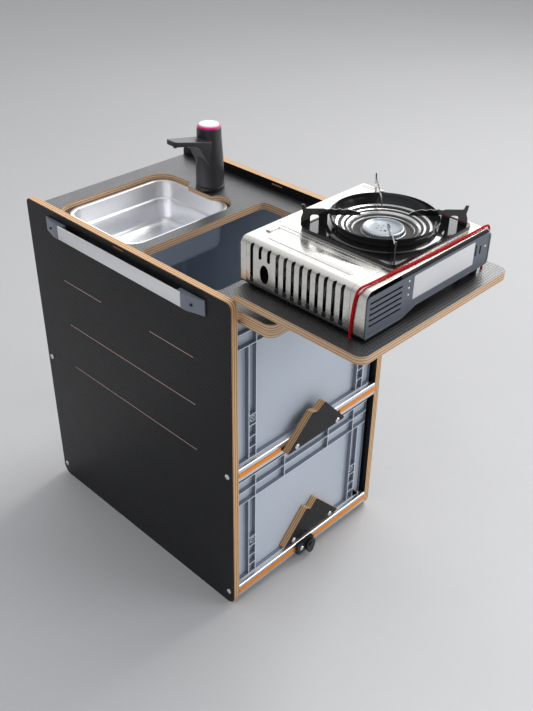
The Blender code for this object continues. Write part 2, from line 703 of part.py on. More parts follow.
def make_worktop():
    nose = (NOSE_SIDE_INSET, POD_WIDTH - NOSE_SIDE_INSET)
    outline = round_corners([
        (FITTED_X[0], NOSE_EASE, 0), (nose[0], 0, 0), (nose[0], -NOSE_REACH, NOSE_RADIUS),
        (nose[1], -NOSE_REACH, NOSE_RADIUS), (nose[1], 0, 0), (FITTED_X[1], NOSE_EASE, 0),
        (FITTED_X[1], POD_DEPTH - TOP_BACK_GAP, 0), (FITTED_X[0], POD_DEPTH - TOP_BACK_GAP, 0)])
    loops = [
        outline,
        rectangle(BIN_X, BIN_Y, BIN_RADIUS),
        circle((PIVOT_X, PIVOT_Y), PIVOT_RADIUS + BOLT_CLEARANCE, SMALL_ROUND_STEPS),
        circle((TAP_X, TAP_Y), TAP_STEM_RADIUS + BOLT_CLEARANCE)]
    worktop = prism("worktop", loops, (TOP_LOW, TOP_HEIGHT), "XY", "ply_black")
    ledge = TOP_HEIGHT - SINK_REBATE
    tongue_low = TOP_HEIGHT - TONGUE_THICKNESS
    boolean(worktop, prism(
        "sink_hole", [rectangle(SINK_HOLE_X, SINK_HOLE_Y, SINK_HOLE_RADIUS)],
        (TOP_LOW - CUT_OVERRUN, (ledge + tongue_low) / 2)))
    boolean(worktop, prism("sink_rebate", [sink_outline()], (ledge, TOP_HEIGHT + CUT_OVERRUN)))
    boolean(worktop, blocks("sink_undercut", [(
        (TONGUE_EDGE - CUT_OVERRUN, SINK_X[1] - FIT_GAP),
        (TAP_Y - TONGUE_HALF_WIDTH - CUT_OVERRUN, TAP_Y + TONGUE_HALF_WIDTH + CUT_OVERRUN),
        (ledge, tongue_low))]))

    inset = NOSE_SIDE_INSET + DOUBLER_INSET
    doubler = [
        round_corners([
            (inset, -NOSE_REACH + DOUBLER_INSET, NOSE_RADIUS),
            (POD_WIDTH - inset, -NOSE_REACH + DOUBLER_INSET, NOSE_RADIUS),
            (POD_WIDTH - inset, DOUBLER_BACK, 0), (inset, DOUBLER_BACK, 0)]),
        circle((PIVOT_X, PIVOT_Y), PIVOT_RADIUS + BOLT_CLEARANCE, SMALL_ROUND_STEPS)]
    high = TOP_LOW - FIT_GAP
    prism("nose_doubler", doubler, (high - DOUBLER_THICKNESS, high), "XY", "ply_black")


def pan_levels():
    """Inset and depth of each ring of the pan's inner face, from the flange to the floor."""
    wall = PAN_FLANGE
    levels = [(0, 0), (wall - PAN_SHEET, 0), (wall + PAN_SHEET, PAN_SHEET * 2)]
    levels.append((wall + PAN_DRAFT / 3, PAN_SHOULDER_DEPTH))
    levels.append((wall + PAN_DRAFT / 3 + PAN_SHOULDER, PAN_SHOULDER_DEPTH + PAN_SHOULDER / 2))
    inner = wall + PAN_DRAFT + PAN_SHOULDER
    for step in range(ARC_STEPS):
        angle = math.pi / 2 * step / (ARC_STEPS - 1)
        levels.append((
            inner + PAN_FLOOR_FILLET * (1 - math.cos(angle)),
            PAN_DEPTH - PAN_FLOOR_FILLET * (1 - math.sin(angle))))
    return levels


def make_sink_pan():
    """A pressed pan: rings of one rounded outline, bridged and closed at the floor."""
    mesh = bpy.data.meshes.new("sink_pan")
    shape = bmesh.new()
    top = TOP_HEIGHT - SINK_REBATE + FIT_GAP + PAN_SHEET
    rings = []
    for inset, depth in pan_levels():
        radius = max(PAN_CORNER - inset, PAN_CORNER / 4)
        outline = rectangle(
            (PAN_X[0] + inset, PAN_X[1] - inset), (PAN_Y[0] + inset, PAN_Y[1] - inset), radius)
        rings.append([shape.verts.new((x, y, top - depth)) for x, y in outline])
    for upper, lower in zip(rings, rings[1:]):
        for index in range(len(upper)):
            following = (index + 1) % len(upper)
            shape.faces.new(
                (upper[index], upper[following], lower[following], lower[index]))
    shape.faces.new(rings[-1])
    shape.to_mesh(mesh)
    shape.free()
    pan = add_piece("sink_pan", mesh, "steel")
    shell = pan.modifiers.new("sheet", "SOLIDIFY")
    shell.thickness = PAN_SHEET
    shell.offset = -1
    shell.use_even_offset = True
    move_origin(pan, (sum(PAN_X) / 2, sum(PAN_Y) / 2, top))
    shade_round(pan)


def box_front_cells(height):
    """Spans of the cells in one half of a box's front, as x from its side and z from its foot."""
    rim = height - BOX_RIM_HEIGHT
    outer = (BOX_EDGE_RIB, BOX_EDGE_RIB + BOX_OUTER_CELL)
    small_start = outer[1] + BOX_RIB
    small = (small_start, small_start + BOX_SMALL_CELL)
    cells = [(outer, (BOX_EDGE_RIB, rim))]
    low = BOX_EDGE_RIB
    for high in (*BOX_SMALL_CELL_TOPS, rim):
        cells.append((small, (low, high)))
        low = high + BOX_RIB
    corner = (BOX_EDGE_RIB, small[1])
    beside_grip = (small[1] + BOX_RIB, (BOX_WIDTH - BOX_GRIP_WIDTH) / 2 - BOX_RIB)
    for row in rim_rows(height):
        cells += [(corner, row), (beside_grip, row)]
    return cells, small[1] + BOX_RIB


def rim_rows(height):
    lower = (height - BOX_RIM_HEIGHT + BOX_RIB, height - BOX_RIM_ROW - BOX_RIB)
    upper = (height - BOX_RIM_ROW, height - BOX_RIB)
    return lower, upper


def make_box(name, foot, height, shank_places=()):
    """A ribbed stacking box: a rounded block, hollowed, with cells cut into its faces."""
    front = BOX_FRONT
    back = BOX_FRONT + BOX_LENGTH
    box = prism(
        name, [rectangle(BOX_X, (front, back), BOX_RADIUS)], (foot, foot + height),
        "XY", "box_grey")
    inset = BOX_RIB_DEPTH + BOX_WALL
    boolean(box, prism(
        name + "_hollow",
        [rectangle((BOX_X[0] + inset, BOX_X[1] - inset), (front + inset, back - inset),
                   BOX_RADIUS)],
        (foot + BOX_FLOOR, foot + height + CUT_OVERRUN)))

    cells, panel_start = box_front_cells(height)
    spans = [
        ((BOX_X[0] + panel_start, BOX_X[1] - panel_start),
         (foot + BOX_EDGE_RIB, foot + height - BOX_RIM_HEIGHT))]
    grip = (POD_WIDTH - BOX_GRIP_WIDTH) / 2
    for row in rim_rows(height):
        spans.append(((grip, POD_WIDTH - grip), (foot + row[0], foot + row[1])))
    for (near, far), (low, high) in cells:
        spans.append(((BOX_X[0] + near, BOX_X[0] + far), (foot + low, foot + high)))
        spans.append(((BOX_X[1] - far, BOX_X[1] - near), (foot + low, foot + high)))
    front_y = (front - CUT_OVERRUN, front + BOX_RIB_DEPTH)
    back_y = (back - BOX_RIB_DEPTH, back + CUT_OVERRUN)
    boolean(box, blocks(name + "_front_cells", [(x, front_y, z) for x, z in spans]))
    boolean(box, blocks(name + "_back_cells", [(x, back_y, z) for x, z in spans]))

    start = front + BOX_RIB_DEPTH + BOX_OUTER_CELL
    pitch = (back - front - 2 * (start - front) + BOX_RIB) / BOX_SIDE_CELLS
    side_z = (foot + BOX_EDGE_RIB, foot + height - BOX_RIM_HEIGHT)
    side_spans = []
    for cell in range(BOX_SIDE_CELLS):
        y = (start + cell * pitch, start + (cell + 1) * pitch - BOX_RIB)
        side_spans.append(((BOX_X[0] - CUT_OVERRUN, BOX_X[0] + BOX_RIB_DEPTH), y, side_z))
        side_spans.append(((BOX_X[1] - BOX_RIB_DEPTH, BOX_X[1] + CUT_OVERRUN), y, side_z))
    boolean(box, blocks(name + "_side_cells", side_spans))
    for index, (x, z) in enumerate(shank_places):
        boolean(box, rod(
            f"{name}_hole_{index}", (x, front, z), "Y", (-CUT_OVERRUN, inset + CUT_OVERRUN),
            BOLT_SHANK_RADIUS + BOLT_CLEARANCE, steps=SMALL_ROUND_STEPS))
    move_origin(box, (POD_WIDTH / 2, front, foot))
    return box


def make_boxes():
    make_box("upper_box", UPPER_BOX_FOOT, UPPER_BOX_HEIGHT)
    screw_z = PULL_PLATE_FOOT + PULL_SCREW_RISE
    lower = make_box(
        "lower_box", LOWER_BOX_FOOT, LOWER_BOX_HEIGHT, [(x, screw_z) for x in PULL_SCREW_X])

    back = BOX_FRONT + BOX_RIB_DEPTH - FIT_GAP
    front = back - PLY_PLATE_THICKNESS
    outline = round_corners(
        [(x, PULL_PLATE_FOOT + z, PLATE_CORNER_RADIUS) for x, z in PULL_PLATE_OUTLINE])
    holes = [
        circle((x, screw_z), BOLT_SHANK_RADIUS + BOLT_CLEARANCE, SMALL_ROUND_STEPS)
        for x in PULL_SCREW_X]
    plate = prism("lower_pull_plate", [outline, *holes], (front, back), "XZ", "ply_black")
    length = PLY_PLATE_THICKNESS + BOX_WALL + BOLT_SHANK_RADIUS
    screws = [
        button_bolt(f"pull_plate_screw_{side}", (x, front, screw_z), "-Y", length)
        for side, x in zip(("left", "right"), PULL_SCREW_X)]
    for piece in (plate, *screws):
        ride_on(piece, lower)


def ride_on(piece, carrier):
    """Parent a piece to its carrier and keep its place; carriers are never rotated."""
    piece.location = piece.location - carrier.location
    piece.parent = carrier


def make_stop_plate():
    outline = round_corners(
        [(x, STOP_PLATE_FOOT + z, PLATE_CORNER_RADIUS) for x, z in STOP_PLATE_OUTLINE])
    bolt_z = STOP_PLATE_FOOT + STOP_BOLT_RISE
    holes = [
        circle((x, bolt_z), BOLT_SHANK_RADIUS + BOLT_CLEARANCE, SMALL_ROUND_STEPS)
        for x in STOP_BOLT_X]
    back = -FIT_GAP
    front = back - PLY_PLATE_THICKNESS
    prism("upper_stop_plate", [outline, *holes], (front, back), "XZ", "ply_black")
    nut = (RAIL_LIP + FIT_GAP, RAIL_LIP + FIT_GAP + SLOT_NUT_THICKNESS / 2)
    length = PLY_PLATE_THICKNESS + FIT_GAP + nut[1]
    for side, x in zip(("left", "right"), STOP_BOLT_X):
        button_bolt(
            f"stop_plate_bolt_{side}", (x, front, bolt_z), "-Y", length, nut_span=nut)


def make_catch():
    top = RAIL_BOTTOM_LOW + RAIL_SIZE
    front = -FIT_GAP - CATCH_THICKNESS
    hole = circle(
        (CATCH_BOLT_X, CATCH_AXIS_Z), BOLT_SHANK_RADIUS + BOLT_CLEARANCE, SMALL_ROUND_STEPS)
    base = prism(
        "catch_base",
        [rectangle(CATCH_X, (RAIL_BOTTOM_LOW, top), CATCH_RADIUS), hole],
        (front, -FIT_GAP), "XZ", "black_plastic")
    lobe_back = front - FIT_GAP
    lobe_front = lobe_back - CATCH_LOBE_THICKNESS
    pin = turned(
        "catch_pin", (CATCH_PIVOT_X, 0, CATCH_AXIS_Z), "-Y",
        [(0, -lobe_front + FIT_GAP + CATCH_PIN_CAP),
         (CATCH_PIN_CAP_RADIUS, -lobe_front + FIT_GAP + CATCH_PIN_CAP),
         (CATCH_PIN_CAP_RADIUS, -lobe_front + FIT_GAP),
         (CATCH_PIN_RADIUS, -lobe_front + FIT_GAP),
         (CATCH_PIN_RADIUS, -front - CATCH_RADIUS),
         (0, -front - CATCH_RADIUS)], steps=SMALL_ROUND_STEPS)
    boolean(base, pin, "UNION")
    nut = (RAIL_LIP + FIT_GAP, RAIL_LIP + FIT_GAP + SLOT_NUT_THICKNESS / 2)
    button_bolt(
        "catch_bolt", (CATCH_BOLT_X, front, CATCH_AXIS_Z), "-Y",
        CATCH_THICKNESS + FIT_GAP + nut[1], nut_span=nut)

    tip = Vector((CATCH_PIVOT_X, CATCH_AXIS_Z - CATCH_LOBE_DROP + CATCH_LOBE_TIP_RADIUS))
    hub = Vector((CATCH_PIVOT_X, CATCH_AXIS_Z))
    lean = math.asin((CATCH_HUB_RADIUS - CATCH_LOBE_TIP_RADIUS) / (hub - tip).length)
    steps = ARC_STEPS * 2
    outline = []
    for step in range(steps + 1):
        angle = -lean + (math.pi + 2 * lean) * step / steps
        outline.append(hub + Vector((math.cos(angle), math.sin(angle))) * CATCH_HUB_RADIUS)
    for step in range(steps + 1):
        angle = math.pi + lean + (math.pi - 2 * lean) * step / steps
        outline.append(tip + Vector((math.cos(angle), math.sin(angle))) * CATCH_LOBE_TIP_RADIUS)
    bore = circle(hub, CATCH_PIN_RADIUS + BOLT_CLEARANCE, SMALL_ROUND_STEPS)
    lobe = prism("catch_lobe", [outline, bore], (lobe_front, lobe_back), "XZ", "black_plastic")
    move_origin(lobe, (CATCH_PIVOT_X, lobe_back, CATCH_AXIS_Z))


def make_handles():
    high = HANDLE_LOW + HANDLE_HEIGHT
    face = -HANDLE_REACH
    bar_back = face + HANDLE_BAR_THICKNESS
    middle = sum(HANDLE_BAR_Y) / 2
    near = HANDLE_BAR_Y[0]
    tip = near - HANDLE_CAP_LENGTH
    near_cap = [
        (-FIT_GAP, tip), (-HANDLE_CAP_TIP, tip), (face, near - HANDLE_CAP_FLAT),
        (face, near - FIT_GAP), (bar_back + FIT_GAP, near - FIT_GAP),
        (bar_back + FIT_GAP, near + HANDLE_CAP_SOCKET), (-FIT_GAP, near + HANDLE_CAP_SOCKET)]
    far_cap = [(x, 2 * middle - y) for x, y in near_cap]
    for side in ("left", "right"):
        def place(x):
            return x if side == "left" else POD_WIDTH - x
        bar_x = sorted((place(face), place(bar_back)))
        bar = blocks(
            f"handle_bar_{side}", [(bar_x, HANDLE_BAR_Y, (HANDLE_LOW, high))], "aluminium")
        bevel(bar, HANDLE_BEVEL)
        for end, outline in (("front", near_cap), ("rear", far_cap)):
            cap = prism(
                f"handle_cap_{side}_{end}", [[(place(x), y) for x, y in outline]],
                (HANDLE_LOW, high), "XY", "grey_plastic")
            y = near - HANDLE_CAP_LENGTH / 2
            if end == "rear":
                y = 2 * middle - y
            hole = rod(
                f"handle_hole_{side}_{end}", (place(-HANDLE_REACH), y, (HANDLE_LOW + high) / 2),
                "X" if side == "left" else "-X",
                (-CUT_OVERRUN, HANDLE_REACH + CUT_OVERRUN), HANDLE_SCREW_RADIUS,
                steps=SMALL_ROUND_STEPS)
            boolean(cap, hole)


def make_tap():
    centre = (TAP_X, TAP_Y, 0)
    base_low = TOP_HEIGHT + FIT_GAP
    base_high = base_low + TAP_BASE_HEIGHT
    stem_low = TOP_LOW - TAP_STEM_BELOW
    lip = TAP_BASE_RADIUS - TAP_FOOT_RADIUS
    turned("tap_base", centre, "Z", [
        (0, base_high), (TAP_BASE_RADIUS - lip, base_high), (TAP_BASE_RADIUS, base_high - lip),
        (TAP_BASE_RADIUS, base_low), (TAP_STEM_RADIUS, base_low), (TAP_STEM_RADIUS, stem_low),
        (0, stem_low)], "black_plastic")
    nut_high = TOP_LOW - FIT_GAP
    bore = TAP_STEM_RADIUS + BOLT_CLEARANCE
    turned("tap_nut", centre, "Z", [
        (bore, nut_high), (TAP_NUT_RADIUS, nut_high), (TAP_NUT_RADIUS, nut_high - TAP_NUT_HEIGHT),
        (bore, nut_high - TAP_NUT_HEIGHT)], "black_plastic", closed=True)

    body_low = base_high + FIT_GAP
    rise = TAP_BODY_TOP - body_low
    seat_low = TAP_BODY_TOP - TAP_RING_HEIGHT
    pocket_radius = TAP_TOP_RADIUS - TAP_RING_WALL
    profile = [(0, seat_low), (pocket_radius, seat_low), (pocket_radius, TAP_BODY_TOP)]
    profile += [(TAP_TOP_RADIUS, TAP_BODY_TOP), (TAP_TOP_RADIUS, TAP_GROOVE_Z - TAP_GROOVE_HALF)]
    for share in TAP_SWELL_SHARES:
        swell = (TAP_FOOT_RADIUS - TAP_TOP_RADIUS) * share ** TAP_SWELL_POWER
        height = TAP_GROOVE_Z - (rise - TAP_GROOVE_HALF) * share
        profile.append((TAP_TOP_RADIUS + swell, height))
    profile[-1] = (TAP_FOOT_RADIUS, body_low)
    profile.append((0, body_low))
    body = turned("tap_body", centre, "Z", profile, "tap_grey")

    tip = TAP_X - SPOUT_REACH
    side_view = round_corners([
        (TAP_X, SPOUT_TOP, 0), (tip, SPOUT_TOP, SPOUT_RADIUS),
        (tip, SPOUT_TOP - SPOUT_TIP_HEIGHT, SPOUT_RADIUS / 2),
        (TAP_X - TAP_FOOT_RADIUS - SPOUT_SWELL_RADIUS / 2, SPOUT_TOP - SPOUT_TIP_HEIGHT
         - SPOUT_RADIUS, SPOUT_SWELL_RADIUS),
        (TAP_X - TAP_TOP_RADIUS / 2, SPOUT_TOP - SPOUT_ROOT_HEIGHT, 0),
        (TAP_X, SPOUT_TOP - SPOUT_ROOT_HEIGHT, 0)])
    spout = prism(
        "spout_side", [side_view],
        (TAP_Y - SPOUT_ROOT_WIDTH, TAP_Y + SPOUT_ROOT_WIDTH), "XZ")
    half_tip = SPOUT_TIP_WIDTH / 2
    half_root = SPOUT_ROOT_WIDTH / 2
    plan = prism(
        "spout_plan",
        [round_corners([
            (tip, TAP_Y - half_tip, SPOUT_RADIUS), (TAP_X, TAP_Y - half_root, 0),
            (TAP_X, TAP_Y + half_root, 0), (tip, TAP_Y + half_tip, SPOUT_RADIUS)])],
        (SPOUT_TOP - SPOUT_ROOT_HEIGHT - CUT_OVERRUN, SPOUT_TOP + CUT_OVERRUN))
    boolean(spout, plan, "INTERSECT")
    nozzle = rod(
        "nozzle", (tip + NOZZLE_INSET, TAP_Y, SPOUT_TOP - SPOUT_TIP_HEIGHT), "-Z",
        (-CUT_OVERRUN, NOZZLE_DROP), NOZZLE_RADIUS, steps=SMALL_ROUND_STEPS)
    boolean(spout, nozzle, "UNION")
    boolean(body, spout, "UNION")

    ring_low = TAP_BODY_TOP + FIT_GAP
    ring_high = ring_low + TAP_RING_HEIGHT
    turned("tap_light_ring", centre, "Z", [
        (pocket_radius, ring_high), (TAP_TOP_RADIUS, ring_high),
        (TAP_TOP_RADIUS, ring_low), (pocket_radius, ring_low)], "pink", closed=True)
    button_radius = pocket_radius - BOLT_CLEARANCE * 2
    button_high = ring_high + TAP_BUTTON_PROUD
    button_low = seat_low + TAP_BUTTON_TRAVEL + FIT_GAP * 3
    dish = TAP_BUTTON_PROUD / 4
    turned("tap_button", (TAP_X, TAP_Y, button_high), "Z", [
        (0, -dish), (button_radius - TAP_BUTTON_PROUD * 2, 0),
        (button_radius - dish, -dish), (button_radius, -dish * 2),
        (button_radius, button_low - button_high), (0, button_low - button_high)], "white")


def make_swivel():
    centre = (PIVOT_X, PIVOT_Y, 0)
    low = TOP_HEIGHT + FIT_GAP
    high = BOARD_LOW - FIT_GAP
    split = low + (high - low) * SWIVEL_BASE_SHARE
    bore = PIVOT_RADIUS + BOLT_CLEARANCE
    turned("swivel_base", centre, "Z", [
        (bore, split), (SWIVEL_BASE_RADIUS, split), (SWIVEL_BASE_RADIUS, low), (bore, low)],
        "steel", ROUND_STEPS, True)
    plate = turned("swivel_plate", (PIVOT_X, PIVOT_Y, split + FIT_GAP), "Z", [
        (bore, high - split - FIT_GAP), (SWIVEL_PLATE_RADIUS, high - split - FIT_GAP),
        (SWIVEL_PLATE_RADIUS, 0), (bore, 0)], "steel", ROUND_STEPS, True)

    nut_high = TOP_LOW - FIT_GAP * 2 - DOUBLER_THICKNESS
    nut_low = nut_high - PIVOT_NUT_HEIGHT
    head_high = BOARD_TOP - FIT_GAP
    head_low = head_high - PIVOT_HEAD_HEIGHT + FIT_GAP
    turned("pivot_bolt", centre, "Z", [
        (0, head_high), (PIVOT_HEAD_RADIUS, head_high), (PIVOT_HEAD_RADIUS, head_low),
        (PIVOT_RADIUS, head_low), (PIVOT_RADIUS, nut_low - BOLT_SOCKET_DEPTH),
        (0, nut_low - BOLT_SOCKET_DEPTH)], "bolt", SMALL_ROUND_STEPS)
    prism("pivot_nut", [
        circle(centre[:2], PIVOT_NUT_RADIUS, PIVOT_NUT_SIDES), circle(centre[:2], bore, SMALL_ROUND_STEPS)],
        (nut_low, nut_high), "XY", "bolt")
    return plate


def make_board():
    loops = [
        rectangle(BOARD_X, BOARD_Y, BOARD_RADIUS),
        circle((PIVOT_X, PIVOT_Y), PIVOT_RADIUS + BOLT_CLEARANCE, SMALL_ROUND_STEPS)]
    board = prism("stove_board", loops, (BOARD_LOW, BOARD_TOP), "XY", "ply_black")
    boolean(board, rod(
        "pivot_recess", (PIVOT_X, PIVOT_Y, BOARD_TOP), "Z",
        (-PIVOT_HEAD_HEIGHT - FIT_GAP, CUT_OVERRUN), PIVOT_HEAD_RADIUS + BOLT_CLEARANCE))
    for end, name in ((CORD_ROUTE[0], "cord_hole_left"), (CORD_ROUTE[-1], "cord_hole_right")):
        boolean(board, rod(
            name, (end[0], end[1], BOARD_TOP), "Z", (-CORD_HOLE_DEPTH, CUT_OVERRUN),
            CORD_HOLE_RADIUS, steps=SMALL_ROUND_STEPS))
    move_origin(board, (PIVOT_X, PIVOT_Y, BOARD_LOW))
    return board


def skin_outline(right_low):
    t = STOVE_SHEET
    left, right = STOVE_X
    low = STOVE_LOW + STOVE_FLOOR + FIT_GAP
    return round_corners([
        (left, low, 0), (left + t, low, 0), (left + t, STOVE_TOP - t, STOVE_LEFT_RADIUS - t),
        (right - t, STOVE_TOP - t, STOVE_RIGHT_RADIUS - t), (right - t, right_low, 0),
        (right, right_low, 0), (right, STOVE_TOP, STOVE_RIGHT_RADIUS),
        (left, STOVE_TOP, STOVE_LEFT_RADIUS)])


def lever_slot():
    """The slot's height, which lets the lever rise from its rest by its travel."""
    half = LEVER_HEIGHT / 2 + BOLT_CLEARANCE
    return LEVER_Z - half, LEVER_Z + LEVER_TRAVEL + half


def make_stove_body():
    """The floor under the cartridge bay and the block under the burner, with feet and legs."""
    gap = STOVE_SHEET + FIT_GAP
    left = STOVE_X[0]
    right = STOVE_X[1] - gap
    high = STOVE_TOP - gap
    bay = BAY_RIGHT + gap
    body = prism(
        "stove_body",
        [round_corners([
            (left, STOVE_LOW, 0), (STOVE_ARCH_X[0], STOVE_LOW, 0),
            (STOVE_ARCH_X[1], STOVE_RAISED_LOW, 0), (right, STOVE_RAISED_LOW, 0),
            (right, high, STOVE_RIGHT_RADIUS - gap), (bay, high, 0),
            (bay, STOVE_LOW + STOVE_FLOOR, 0), (left, STOVE_LOW + STOVE_FLOOR, 0)])],
        STOVE_Y, "XZ", "black_plastic")
    foot_low = BOARD_TOP + FIT_GAP
    spans = []
    for y in (
            (STOVE_Y[0] + STOVE_FOOT_INSET, STOVE_Y[0] + STOVE_FOOT_INSET + STOVE_FOOT_DEPTH),
            (STOVE_Y[1] - STOVE_FOOT_INSET - STOVE_FOOT_DEPTH, STOVE_Y[1] - STOVE_FOOT_INSET)):
        near = left + STOVE_FOOT_INSET
        spans.append((
            (near, near + STOVE_FOOT_LENGTH), y, (foot_low, STOVE_LOW + STOVE_FLOOR / 2)))
        spans.append((STOVE_LEG_X, y, (foot_low, STOVE_RAISED_LOW + STOVE_FLOOR)))
    boolean(body, blocks("stove_feet", spans), "UNION")
    boolean(body, rod(
        "stem_bore", (BURNER_X, BURNER_Y, high), "Z", (-BURNER_STEM_DEPTH, CUT_OVERRUN),
        BURNER_STEM_RADIUS + BOLT_CLEARANCE))
    boolean(body, rod(
        "knob_bore", (KNOB_X, STOVE_Y[1], KNOB_Z), "Y", (-KNOB_SHAFT_LENGTH, CUT_OVERRUN),
        KNOB_SHAFT_RADIUS + BOLT_CLEARANCE, steps=SMALL_ROUND_STEPS))
    stem = LEVER_STEM_WIDTH / 2 + BOLT_CLEARANCE
    boolean(body, blocks("lever_bore", [(
        (LEVER_X - stem, LEVER_X + stem),
        (STOVE_Y[1] - KNOB_SHAFT_LENGTH, STOVE_Y[1] + CUT_OVERRUN),
        lever_slot())]))
    return body


def make_stove_skin():
    skin = prism(
        "stove_skin", [skin_outline(STOVE_RAISED_LOW)], STOVE_Y, "XZ", "stove_sheet")
    window = ((STOVE_X[0] - CUT_OVERRUN, BAY_RIGHT + FIT_GAP),
              (LID_Y[0] - FIT_GAP, LID_Y[1] + FIT_GAP),
              (STOVE_LOW, STOVE_TOP + CUT_OVERRUN))
    boolean(skin, blocks("lid_window", [window]))
    boolean(skin, rod(
        "burner_opening", (BURNER_X, BURNER_Y, STOVE_TOP), "Z",
        (-STOVE_SHEET * 2, CUT_OVERRUN), BURNER_OPENING_RADIUS))
    return skin


def make_cartridge_lid():
    t = STOVE_SHEET
    left = STOVE_X[0]
    edge = LID_HINGE_Z
    lid = prism(
        "cartridge_lid",
        [round_corners([
            (left, edge, 0), (left + t, edge, 0),
            (left + t, STOVE_TOP - t, STOVE_LEFT_RADIUS - t), (BAY_RIGHT, STOVE_TOP - t, 0),
            (BAY_RIGHT, STOVE_TOP, 0), (left, STOVE_TOP, STOVE_LEFT_RADIUS)])],
        LID_Y, "XZ", "stove_sheet")
    rolled = rod(
        "lid_roll", (LID_HINGE_X, 0, LID_HINGE_Z), "Y", LID_Y, LID_HINGE_RADIUS,
        steps=SMALL_ROUND_STEPS)
    boolean(lid, rolled, "UNION")
    slots = []
    for index in range(LID_SLOT_COUNT):
        y = LID_FIRST_SLOT_Y - index * LID_SLOT_PITCH
        rise = LID_SHORT_SLOT_RISE if index in LID_SHORT_SLOTS else LID_SLOT_RISE
        slots.append((
            (left - CUT_OVERRUN, left + LID_SLOT_OVER),
            (y - LID_SLOT_WIDTH / 2, y + LID_SLOT_WIDTH / 2),
            (STOVE_LOW + rise, STOVE_TOP + CUT_OVERRUN)))
    boolean(lid, blocks("lid_slots", slots))
    half_width = LID_HOLE_WIDTH / 2
    half_height = LID_HOLE_HEIGHT / 2
    oval = [
        (LID_HOLE_Y + half_width * math.cos(angle), LID_HOLE_Z + half_height * math.sin(angle))
        for angle in (math.tau * step / ROUND_STEPS for step in range(ROUND_STEPS))]
    boolean(lid, prism(
        "lid_hole", [oval], (left - CUT_OVERRUN, left + STOVE_SHEET + CUT_OVERRUN), "YZ"))
    move_origin(lid, (LID_HINGE_X, 0, LID_HINGE_Z))
    return lid


def stove_end_outline():
    """The outline of the stove's two end faces, low at the bay and raised over the arch."""
    left, right = STOVE_X
    low, high = END_PANEL_Z
    return round_corners([
        (left, STOVE_LOW, STOVE_FLOOR), (STOVE_ARCH_X[0], STOVE_LOW, STOVE_LEFT_RADIUS),
        (STOVE_ARCH_X[1], low, STOVE_LEFT_RADIUS),
        (right, low, STOVE_RIGHT_RADIUS / 2), (right, high, STOVE_RIGHT_RADIUS / 2),
        (left, high, STOVE_LEFT_RADIUS / 2)])


def make_end_panel():
    back = STOVE_Y[0] - FIT_GAP
    front = back - END_PANEL_THICKNESS
    panel = prism(
        "stove_end_panel", [stove_end_outline()], (front, back), "XZ", "stove_grey")
    depth = (front - CUT_OVERRUN, back + CUT_OVERRUN)
    cuts = []
    for index in range(VENT_COUNT):
        z = VENT_LOW + index * VENT_PITCH
        cuts.append((VENT_X, depth, (z, z + VENT_HEIGHT)))
    for x in END_SLOT_X:
        cuts.append((
            (x - END_SLOT_WIDTH / 2, x + END_SLOT_WIDTH / 2), depth,
            (END_SLOT_Z - END_SLOT_HEIGHT / 2, END_SLOT_Z + END_SLOT_HEIGHT / 2)))
    boolean(panel, blocks("end_panel_cuts", cuts))
    return panel


def make_controls():
    back = STOVE_Y[1] + FIT_GAP
    front = back + CONTROL_PANEL_THICKNESS
    stem = LEVER_STEM_WIDTH / 2 + BOLT_CLEARANCE
    slot = rectangle((LEVER_X - stem, LEVER_X + stem), lever_slot())
    bore = circle((KNOB_X, KNOB_Z), KNOB_SHAFT_RADIUS + BOLT_CLEARANCE, SMALL_ROUND_STEPS)
    panel = prism(
        "stove_control_panel", [stove_end_outline(), slot, bore], (back, front), "XZ",
        "stove_grey")

    face = KNOB_DEPTH - KNOB_GRIP_HEIGHT
    knob = turned("control_knob", (KNOB_X, front + FIT_GAP, KNOB_Z), "Y", [
        (0, face), (KNOB_RADIUS - KNOB_EDGE, face), (KNOB_RADIUS, face - KNOB_EDGE),
        (KNOB_RADIUS, 0),
        (KNOB_SHAFT_RADIUS, 0), (KNOB_SHAFT_RADIUS, -KNOB_SHAFT_LENGTH + FIT_GAP),
        (0, -KNOB_SHAFT_LENGTH + FIT_GAP)], "black_plastic", SMALL_ROUND_STEPS * 2)
    grip_low = front + face - FIT_GAP
    half_grip = KNOB_GRIP_WIDTH / 2
    grip_rise = KNOB_RADIUS - half_grip
    grip = blocks("knob_grip", [(
        (KNOB_X - half_grip, KNOB_X + half_grip), (grip_low, grip_low + KNOB_GRIP_HEIGHT),
        (KNOB_Z - grip_rise, KNOB_Z + grip_rise))])
    boolean(knob, grip, "UNION")

    half_width = LEVER_WIDTH / 2
    half_stem = LEVER_STEM_WIDTH / 2
    half_height = LEVER_HEIGHT / 2
    lever = prism(
        "cartridge_lever",
        [[(LEVER_X - half_stem, back - KNOB_SHAFT_LENGTH + CUT_OVERRUN),
          (LEVER_X + half_stem, back - KNOB_SHAFT_LENGTH + CUT_OVERRUN),
          (LEVER_X + half_stem, front + FIT_GAP), (LEVER_X + half_width, front + FIT_GAP),
          (LEVER_X + half_width, front + LEVER_REACH),
          (LEVER_X - half_width, front + LEVER_REACH),
          (LEVER_X - half_width, front + FIT_GAP), (LEVER_X - half_stem, front + FIT_GAP)]],
        (LEVER_Z - half_height, LEVER_Z + half_height), "XY", "black_plastic")
    move_origin(lever, (LEVER_X, front, LEVER_Z))
    return panel, knob, lever


